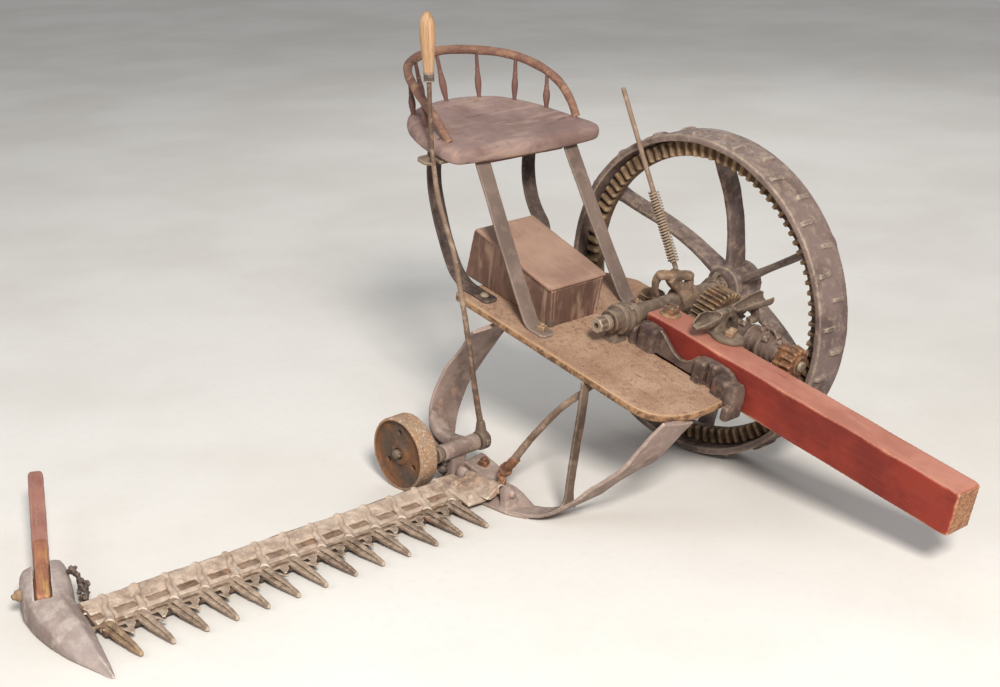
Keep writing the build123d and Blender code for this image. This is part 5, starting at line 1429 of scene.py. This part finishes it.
k = Kit(MA)
rib = spline([(433, 65, 318), (460, 77, 245), (489, 86, 171), (514, 93, 92), (523, 96, 56), (528, 97, 38)], 9)
nn_ = len(rib) - 1
k.strip(rib, rrect(26, 9, 3, 3), side=(1, 0, 0), scale=[(table_at(((0, 1), (0.70, 1.0), (0.86, 1.4), (1, 2.1)), i / nn_)[0], table_at(((0, 1), (0.8, 1.0), (1, 0.8)), i / nn_)[0]) for i in range(nn_ + 1)])
piece("runner_strut_iron", k, "chassis", IRON_BROWN, stands=("runner_strut",), voxel=1.8, smooth=1, rough=(0.45, 30), seed=55)
k = Kit(MA)
BR = spline([(398, 80, 322), (418, 48, 288), (455, 0, 240), (490, -54, 168), (512, -92, 110), (520, -108, 84)], 7)
nb = len(BR) - 1
k.tube(BR, [table_at(((0, 7.6), (0.5, 8.6), (0.85, 10.0), (1, 11.5)), i / nb)[0] for i in range(nb + 1)], seg=18)
piece("brace_rod_forged", k, "chassis", IRON_ROD, stands=("brace_rod",), voxel=1.6, smooth=1, rough=(0.6, 24), seed=56)
k = Kit(MA)
k.tube(spline([(512, -92, 104), (518, -104, 90), (524, -114, 78), (530, -120, 66)], 5), [11.4, 11.6, 12, 12.2, 12.4, 12.6, 12.6, 12.4, 12.2, 12, 11.6, 11.2, 10.6, 10, 9.6, 9.4], seg=14)
k.strip(spline([(514, -122, 84), (524, -128, 74), (536, -128, 64), (546, -120, 56), (550, -108, 50)], 5), rrect(17, 9, 3, 3), side=(0.5, 0.5, 0.7))
k.ring((526, -118, 70), (0.25, 0.55, 0.8), [(7.0, -5), (15, -5), (16.5, -2), (16.5, 4), (15, 6.5), (7.0, 6.5)], seg=28)
k.nut((524, -120, 77), (0.2, 0.3, 0.9), 16, 8, sides=4, turn=20, stud=5.5, stud_h=5)
k.nut((549, -106, 50), (0.5, 0.4, 0.7), 18, 10, sides=4, turn=35, stud=5, stud_h=5)
k.strip([(536, -116, 58), (548, -104, 48), (556, -92, 42)], rrect(13, 8, 3, 3), side=(0.6, -0.4, 0.5))
piece("brace_eye_rusty", k, "chassis", IRON_RUST, voxel=1.3, smooth=1, rough=(1.3, 9), seed=59)

# ------------------------------------------------------------------ cutter bar (BA frame, its plate tilted about its front edge)
k = Kit(BA)
q = k.at(BT)
rows = []
for j in range(60):
    s = lerp(34, 1044, j / 59)
    e = 0.9 * sin(s * 0.021) + 0.6 * sin(s * 0.067)
    rows.append([(s, -238 + e, 13), (s, -236.5 + e, 12), (s, -137, 12), (s, -135, 13.5), (s, -135, 20.5), (s, -137, 22), (s, -236 + e, 22), (s, -238 + e, 20.5)])
q.rings(rows)
piece("finger_bar_flat", k, "cutter_bar", IRON_POCKET, stands=("finger_bar",), voxel=2.8, smooth=1, rough=(0.5, 45), seed=61)

k = Kit(BA)
q = k.at(BT)
HEEL = [(-9, -206), (26, -207), (34, -232), (90, -236), (92, -200), (86, -152), (84, -106), (30, -104), (18, -140), (-9, -142)]
q.rings([[(x, y, z) for x, y in inset(HEEL, i)] for z, i in ((22.6, 1.2), (24, 0.2), (28.5, 0), (30, 0.8), (31.2, 2.6))])
k.rings([[(7, t_, 44), (9, t_, 52), (16, t_, 49), (26, t_, 40), (40, t_, 34), (44, t_, 30), (30, t_, 25), (12, t_, 31)] for t_ in (-200, -170, -140, -110, -84)])
k.ring((0, -204, 45), (0, 1, 0), [(7.2, 0), (11.6, 0), (13, 1.4), (13, 122.6), (11.6, 124), (7.2, 124)], seg=32)
for a, w in ((-176, 3), (-140, 2), (-112, 3)):
    k.ring((0, a, 45), (0, 1, 0), [(12.4, -w), (13.8, -w + 1), (13.8, w - 1), (12.4, w)], seg=28)
q.nut((58, -190, 31), (0, 0, 1), 17, 7, sides=4, turn=15, stud=5, stud_h=3)
q.nut((64, -124, 31), (0, 0, 1), 16, 6, sides=4, turn=-20, stud=5, stud_h=3)
piece("bar_heel_cast", k, "cutter_bar", IRON_PALE, stands=("bar_heel",), voxel=1.8, smooth=3, rough=(0.7, 20), seed=62)

GP, G1, GN = 76.0, 118.0, 13
# lapped plates of the guards with their winding ribs
k = Kit(BA)
q = k.at(BT)


def rib_line(s0, i):
    j = 1.5 * sin(i * 2.1)
    return [(s0 - 37 + j, -230), (s0 - 37.5 + j, -216), (s0 - 33 + j, -201), (s0 - 25, -190), (s0 - 21.5, -176), (s0 - 20, -162), (s0 - 15, -149), (s0 - 8, -138)]


for i in range(GN):
    s0 = G1 + GP * i
    jig = sin(i * 2.3)
    a = [Vector(p) for p in spline([(x, y, 0) for x, y in rib_line(s0, i)], 3)]
    c = [Vector(p) for p in spline([(x + GP, y, 0) for x, y in rib_line(s0, i)], 3)]
    a = [p for p in a if p.y < -184] + [Vector((s0 - 23, -183, 0))]
    c = [p for p in c if p.y < -184] + [Vector((s0 + 53, -183, 0))]
    outline = [(min(p.x - 3.4, 1042), p.y) for p in c] + [(max(p.x + 0.5, 86 if i == 0 else 0), p.y) for p in reversed(a)]
    z1 = 27.4 + 0.6 * jig
    q.rings([[(x, y, z) for x, y in inset(outline, e)] for z, e in ((22.05, 0), (z1 - 1.4, 0), (z1 - 0.3, 0.6), (z1, 1.8))])
    # bridge between two pockets, under the rib
    lo, hi = (86 if i == 0 else s0 - 40), s0 - 13 + 3 * jig
    if hi > lo:
        q.rbox(lo, hi, -186, -150, 21, z1 - 0.8, 2)
    ribp = spline([(x, y, 28.2 + (0.6 if m > 2 else 0)) for m, (x, y) in enumerate(rib_line(s0, i))], 4)
    nr_ = len(ribp) - 1
    q.tube(ribp, [table_at(((0, 4.4), (0.10, 6.2), (0.22, 5.2), (0.45, 5.8), (0.7, 7.5), (1, 10.5)), m / nr_)[0] for m in range(nr_ + 1)], seg=12, up=(1, 0, 0), sx=1.1, sy=0.85)
    q.ball((s0 - 37, -227, 28), 9, 7, 4.6, seg=12, rows=8)
    if i % 3 != 1:
        q.lathe((s0 + 8, -206 + 3 * jig, z1 - 0.6), (0, 0, 1), ((0, 8.6), (1.8, 8.2), (3.0, 6.2), (1.6, 4.2), (0.6, 0.5)), seg=20)
    q.lathe((s0 + 20, -192 + 2 * jig, z1 - 0.6), (0, 0, 1), ((0, 5.2), (1.8, 4.6), (2.4, 2.4), (2.5, 0.4)), seg=14)
# narrow rail in front of the pockets
rail = []
for j in range(61):
    s = lerp(86, 1043, j / 60)
    e = 1.0 * sin(s * 0.047)
    rail.append([(s, -163 + e, 20), (s, -163 + e, 25.5), (s, -161.5 + e, 27.2), (s, -152 + e, 27.4), (s, -149 + e, 25.5), (s, -146, 20)])
q.rings(rail)
piece("guard_plates_cast", k, "cutter_bar", IRON_PALE, stands=("guards",), voxel=1.75, smooth=1, rough=(0.8, 16), seed=63)
# ledge under the knife, coloured dark brown as painted shade
k = Kit(BA)
k.at(BT).rbox(86, 1042, -147, -137, 15, 22.5, 2)
k.rbox(85, 1043, -133, -114, 8.5, 17.5, 3)
piece("guard_ledge_under", k, "cutter_bar", IRON_UNDER_PAINTED_SHADE, voxel=2.4, smooth=1, rough=(0.7, 12), seed=71)

# slender teeth: an upper lip, an open slit on the outer side, and the wider body under it
TOOTH = ((-152, 25.0, 22, 9), (-140, 25.5, 25, 15), (-126, 25.0, 27, 19), (-113, 24.0, 27, 21), (-100, 22.4, 26, 20.5), (-84, 20.4, 24.5, 19.6), (-66, 18.4, 22, 18.0), (-48, 16.4, 19, 16.2), (-32, 14.5, 16, 14.2),
         (-18, 12.7, 13, 11.8), (-7, 11.0, 10.5, 9.4), (-2, 9.9, 7.2, 6.6))


def tooth(kk, s0, i):
    jig = sin(i * 2.3 + 0.4)
    rings = []
    for t_, z, w, h in TOOTH:
        x0 = s0 - 4 - (4 - 2.4 * jig) * max(0, (t_ + 120) / 120) - 5 * max(0, (-126 - t_) / 24)
        hw = w / 2
        op = table_at(((-152, 0), (-134, 0.05), (-124, 1), (-34, 1), (-20, 0.2), (-2, 0)), t_)[0]
        g0 = lerp(hw * 0.90, -hw * 0.06, op)
        rings.append([(x0 - hw * 0.86, t_, z - h * 0.5), (x0 + hw * 0.90, t_, z - h * 0.5), (x0 + hw * 1.10, t_, z - h * 0.34), (x0 + hw * 1.08, t_, z - h * 0.06), (x0 + hw * 0.95, t_, z + h * 0.02),
                      (x0 + g0, t_, z + h * 0.02), (x0 + g0, t_, z + h * 0.24),
                      (x0 + hw * lerp(0.80, 0.52, op), t_, z + h * 0.26), (x0 + hw * lerp(0.66, 0.40, op), t_, z + h * 0.42), (x0 + hw * 0.10, t_, z + h * 0.5), (x0 - hw * 0.34, t_, z + h * 0.5), (x0 - hw * 0.76, t_, z + h * 0.36), (x0 - hw * 0.95, t_, z + h * 0.16),
                      (x0 - hw, t_, z - h * 0.10), (x0 - hw, t_, z - h * 0.36)])
    kk.rings(rings)
    # root spread into the rail, with a short arm on either side
    kk.rings([[(s0 - 8 + x, -138 + y, z) for x, y in rrect(w, d, 6, 4)] for z, w, d in ((9, 38, 26), (20, 38, 26), (26.5, 34, 24), (30.5, 24, 16))])
    kk.strip([(s0 - 2, -136, 26), (s0 + 14, -139, 26.5), (s0 + 30, -141, 26)], rrect(9, 7, 2, 2), side=(0, 1, 0))
    kk.strip([(s0 - 14, -136, 26), (s0 - 30, -139, 26.5), (s0 - 46, -141, 26)], rrect(9, 7, 2, 2), side=(0, 1, 0))


for nm, rng, mat, slot in (("guard_teeth_cast", range(GN - 1), IRON_TEETH, "pale_iron"), ("guard_tooth_outer", range(GN - 1, GN), IRON_TAN, "orange_iron")):
    k = Kit(BA)
    for i in rng:
        tooth(k, G1 + GP * i, i)
    piece(nm, k, "cutter_bar", mat, voxel=1.4, smooth=1, rough=(0.6, 14), seed=65 + len(nm))

# knife: a flat bar with narrow worn sections, each with an open notch at its root, some of them broken
k = Kit(BA)
k.rbox(90, 1042, -129, -122, 20.4, 24.4, 1.2)
for i in range(GN - 1):
    s0 = G1 + GP * i
    jig = sin(i * 1.9)
    arms = [[(s0 + 32, -128, 22.6), (s0 + 35, -112, 22.4), (s0 + 40, -94, 22.2), (s0 + 44 + 2 * jig, -74, 21.8)],
            [(s0 + 62, -128, 22.6), (s0 + 58, -112, 22.4), (s0 + 51, -94, 22.2), (s0 + 45 + 2 * jig, -74, 21.8)]]
    if i % 4 == 2:
        arms[0] = arms[0][:3]
    if i % 5 == 3:
        arms[1] = arms[1][:2]
    for m, arm in enumerate(arms):
        k.strip(spline(arm, 4), rrect(13 if m == 0 else 9, 3.2, 1.2, 2), side=(1, 0, 0), scale=[(lerp(1.15, 0.55, e / ((len(arm) - 1) * 4)), 1) for e in range((len(arm) - 1) * 4 + 1)])
    k.strip([(s0 + 18, -127, 22.8), (s0 + 24, -112, 22.6), (s0 + 36, -100, 22.4)], rrect(8, 3, 1.2, 2), side=(1, 0, 0))
    if i % 4 != 2:
        k.prism([(s0 + 37, -104), (s0 + 55, -104), (s0 + 46 + 2 * jig, -72)], Matrix.Identity(4), 20.9, 23.4)
    if i % 3 == 1:
        k.prism([(s0 + 22, -127), (s0 + 36, -127), (s0 + 34, -116), (s0 + 27, -110)], Matrix.Identity(4), 21.0, 23.8)
    for e in (38, 56):
        k.lathe((s0 + e, -125, 23.6), (0, 0, 1), ((0, 4), (1.4, 3.4), (2.0, 0.5)), seg=12)
piece("knife_sections", k, "cutter_bar", IRON_TEETH, stands=("knife",), voxel=1.3, smooth=1, rough=(0.35, 12), seed=64)

# outer divider shoe: a leaf with a raised ridge, a stepped nose and two ears beside the board's slot
DIV = ((-388, 990, 1100, 84), (-380, 992, 1103, 90), (-366, 996, 1110, 94), (-345, 1002, 1120, 96), (-300, 1016, 1134, 94), (-250, 1040, 1143, 86), (-232, 1046, 1145, 82), (-200, 1048, 1146, 75), (-150, 1054, 1145, 62),
       (-131, 1058.5, 1143.5, 57), (-127.5, 1059, 1143, 56), (-100, 1065, 1140, 48), (-50, 1078, 1130, 34), (0, 1092, 1119, 20), (24, 1100, 1114.5, 12.5), (35, 1104, 1112, 9))
k = Kit(BA)
rings = []
for n, (t_, a, c, h) in enumerate(DIV):
    w = c - a
    r = a + w * table_at(((-388, 0.5), (-300, 0.46), (-200, 0.40), (-120, 0.42), (0, 0.5), (35, 0.5)), t_)[0]
    e = table_at(((-388, 40), (-300, 42), (-200, 30), (-100, 15), (0, 6), (35, 3)), t_)[0]
    drop = 0 if t_ < -129 else 4.5
    flat_ = table_at(((-388, 1), (-250, 0.9), (-200, 0.45), (-120, 0.1), (35, 0)), t_)[0]
    if n == 0:
        h, e = h - 6, e - 6
    top = [(c, e), (c - w * 0.03, e + (h - e) * (0.25 + 0.35 * flat_)), (c - w * 0.12, e + (h - e) * (0.42 + 0.44 * flat_)), (c - w * 0.30, e + (h - e) * (0.66 + 0.30 * flat_)), (r + w * 0.06, h - 0.6), (r, h), (r - w * 0.06, h - 0.8),
           (a + w * 0.22, e + (h - e) * (0.62 + 0.32 * flat_)), (a + w * 0.10, e + (h - e) * (0.36 + 0.46 * flat_)), (a + w * 0.03, e + (h - e) * (0.16 + 0.4 * flat_)), (a, e)]
    top = [(x, z - (drop if m in (1, 2, 3) else drop * 0.5 if m in (0,) else 0)) for m, (x, z) in enumerate(top)]
    rings.append([(a, t_, e * 0.35 + 0.4), (a + 4, t_, 0.4), (c - 4, t_, 0.4), (c, t_, e * 0.35 + 0.4)] + [(x, t_, z) for x, z in top])
k.rings(rings)
q = k.at(BT)
q.rbox(1012, 1060, -222, -150, 3, 11.8, 3)
body = to_mesh("divider_tmp", k)
cutk = Kit(BA)
SA0, SB0 = Vector((1113, -240, 62)), Vector((846, -812, 118))
d = SB0 - SA0
LAYM = frame_at((SA0 + SB0) / 2, d, (1, -0.45, 0))
H = d.length / 2
q = cutk.at(LAYM)
q.box(-18.4, 18.4, -23.4, 120, -H - 0.4, H)
cutter = to_mesh("slot_tmp", cutk)
md = body.modifiers.new("h", "BOOLEAN")
md.operation, md.object, md.solver = "DIFFERENCE", cutter, "EXACT"
bake_mods(body)
bpy.data.objects.remove(cutter)
md = body.modifiers.new("r", "REMESH")
md.mode, md.voxel_size = "VOXEL", 0.0021
md = body.modifiers.new("s", "SMOOTH")
md.factor, md.iterations = 0.5, 3
bake_mods(body)
weather(body, 0.0009, 24, 65)
groove(body, BA, [(1062, -134), (1085, -128), (1108, -131), (1126, -126), (1143, -133)], 3.0, 1.4, above=30)
groove(body, BA, [(1084, -60), (1092, -38), (1096, -10)], 2.4, 1.2, above=8)
body.name = "divider_shoe_cast"
body.data.shade_smooth()
body.data.materials.clear()
body.data.materials.append(IRON_LEAF)
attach(body, "cutter_bar")
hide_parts("divider_shoe")
k = Kit(BA)
k.lathe((1129, -322, 60), (1, 0.12, 0), ((-4, 13), (5, 12.4), (8, 9), (8.1, 7), (15, 7), (16.5, 5.5), (17, 1)), seg=22)
piece("divider_bolt_head", k, "cutter_bar", IRON_TAN, voxel=1.1, smooth=1, rough=(0.8, 8), seed=68)
k = Kit(BA)
k.strip([(1030, -318, 74), (1018, -306, 84), (1010, -290, 80), (1012, -276, 66), (1022, -262, 50)], rrect(12, 9, 3, 3), side=(0, 0, 1))
k.nut((1016, -300, 86), (-0.7, 0.2, 0.7), 17, 9, sides=4, turn=12, stud=5, stud_h=4)
k.strip([(1012, -284, 74), (1004, -270, 62), (1008, -252, 48), (1022, -238, 34)], rrect(9, 12, 3, 3), side=(1, 0, 0))
k.nut((1004, -268, 62), (-0.8, 0.1, 0.5), 14, 8, sides=4, turn=40, stud=4, stud_h=3)
k.strip([(1018, -262, 70), (1014, -246, 56), (1026, -232, 46)], rrect(8, 8, 2, 2), side=(1, 0, 0))
k.ball((1020, -248, 44), 12, 10, 8, seg=10, rows=7)
piece("divider_forged_bits", k, "cutter_bar", IRON_DARK, voxel=1.3, smooth=1, rough=(2.2, 7), seed=69)

# board that lays the cut grass aside, with the block lapped on its foot
k = Kit(BA)
q = k.at(LAYM)
prof = []
for z, w, th in ((-H + 1, 30, 20), (-H + 4, 34, 23), (-H + 20, 35.6, 24), (-H + 150, 36, 24), (0, 36, 24), (H - 60, 36, 24), (H - 22, 35.4, 24), (H - 14, 33, 23), (H - 8, 29, 21), (H - 4, 23, 17), (H - 1.5, 15, 11)):
    prof.append([(x, y - 11, z) for x, y in rrect(w, th, 5, 4)])
q.rings(prof)
board = wooden("grass_board", k, "cutter_bar", WOOD_STICK, stands=("grass_stick",), voxel=2.1, smooth=1, rough=(0.5, 45), seed=66)
groove(board, BA @ LAYM, [(4, H - 30), (3, H - 54), (5, H - 70)], 3.5, 3.0, axis=1, above=-6)
groove(board, BA @ LAYM, [(8, H - 70), (9.5, H - 200), (9, H - 380)], 2.0, 2.0, axis=1, above=-6)
k = Kit(BA)
q = k.at(LAYM)
prof = []
for z, w, th in ((-H + 1, 20, 17), (-H + 5, 26, 21), (-H + 12, 28, 22), (-H + 100, 28.5, 22.5), (-H + 230, 28, 22), (-H + 246, 27, 20), (-H + 254, 24, 15), (-H + 258, 18, 8)):
    prof.append([(x - 1, y + 0.6 + th / 2, z) for x, y in rrect(w, th, 4.5, 4)])
q.rings(prof)
wooden("grass_board_foot", k, "cutter_bar", WOOD_STICK_FOOT, voxel=1.7, smooth=1, rough=(0.5, 35), seed=67)

# ------------------------------------------------------------------ triangle budget
def triangle_count(ob):
    ob.data.calc_loop_triangles()
    return len(ob.data.loop_triangles)


def keep_to_budget(total=880000, cap=170000, small=5000):
    """Thins the dense remeshed pieces evenly, so that all of them together stay within the total."""
    cad = {o.name for o in N.values()}
    count = {o.name: triangle_count(o) for o in bpy.data.objects if o.type == "MESH" and o.name not in cad}
    dense = {k: n for k, n in count.items() if n > small}
    room = total - sum(n for n in count.values() if n <= small)
    share = room / max(1, sum(dense.values()))
    for k, n in dense.items():
        ratio = min(1.0, share, cap / n)
        if ratio < 1.0:
            ob = bpy.data.objects[k]
            m = ob.modifiers.new("thin", "DECIMATE")
            m.ratio = max(ratio, small / n)
            bake_mods(ob)


keep_to_budget()

# ------------------------------------------------------------------ floor, light and camera
def floor_paint():
    g = Graph("floor_pale")
    v = g.mapping(g.obj)
    a = g.noise(v, 1.2, 5, 0.55)
    b = g.noise(v, 40, 4, 0.6)
    col = g.mix(g.step(a, 0.35, 0.65), srgb(226, 222, 216), srgb(218, 213, 206))
    col = g.mix(g.step(b, 0.5, 0.7, 0, 0.12), col, srgb(200, 194, 186))
    return g.done(col, 0.9, g.bump(b, 0.08, 0.001), 0.0, 0.2)


bpy.ops.mesh.primitive_plane_add(size=40, location=(0, 0, 0))
floor = bpy.context.object
floor.name = "floor"
floor.data.materials.append(floor_paint())

world = bpy.data.worlds.new("studio")
bpy.context.scene.world = world
world.use_nodes = True
bg = world.node_tree.nodes["Background"]
bg.inputs[0].default_value = (0.93, 0.96, 1.0, 1)
bg.inputs[1].default_value = 0.40


def area(name, loc, target, size, power, colour=(1, 1, 1)):
    li = bpy.data.lights.new(name, "AREA")
    li.shape, li.size, li.energy, li.color = "DISK", size, power, colour
    ob = bpy.data.objects.new(name, li)
    bpy.context.scene.collection.objects.link(ob)
    ob.location = loc
    ob.rotation_euler = (Vector(target) - Vector(loc)).to_track_quat("-Z", "Y").to_euler()
    return ob


key_dir = Vector((0.70, 1.12, 1.05)).normalized()
area("key", tuple(key_dir * 7.0), (0, 0, 0.4), 1.5, 640, (1.0, 0.965, 0.91))
area("fill", (4.5, -2.5, 3.6), (0, 0, 0.4), 4.0, 70, (0.92, 0.96, 1.0))
area("back", (-4.5, -3.0, 3.8), (0, 0, 0.5), 3.5, 60, (1, 1, 1))

cam = bpy.data.cameras.new("camera")
cam.sensor_width, cam.lens = 36.0, 61.2
cam.clip_start, cam.clip_end = 0.05, 100
co = bpy.data.objects.new("camera", cam)
bpy.context.scene.collection.objects.link(co)
yaw, pit, roll = radians(227.68), radians(18.11), radians(1.18)
fwd = Vector((cos(yaw) * cos(pit), sin(yaw) * cos(pit), -sin(pit)))
right = Vector((sin(yaw), -cos(yaw), 0))
down = fwd.cross(right)
r2 = right * cos(roll) + down * sin(roll)
d2 = -right * sin(roll) + down * cos(roll)
rot = Matrix((r2, -d2, -fwd)).transposed()
co.matrix_world = Matrix.Translation((3.1185 - OX, 2.7185 - OY, 1.6517)) @ rot.to_4x4()
bpy.context.scene.camera = co

bpy.context.scene.view_settings.view_transform = "Standard"
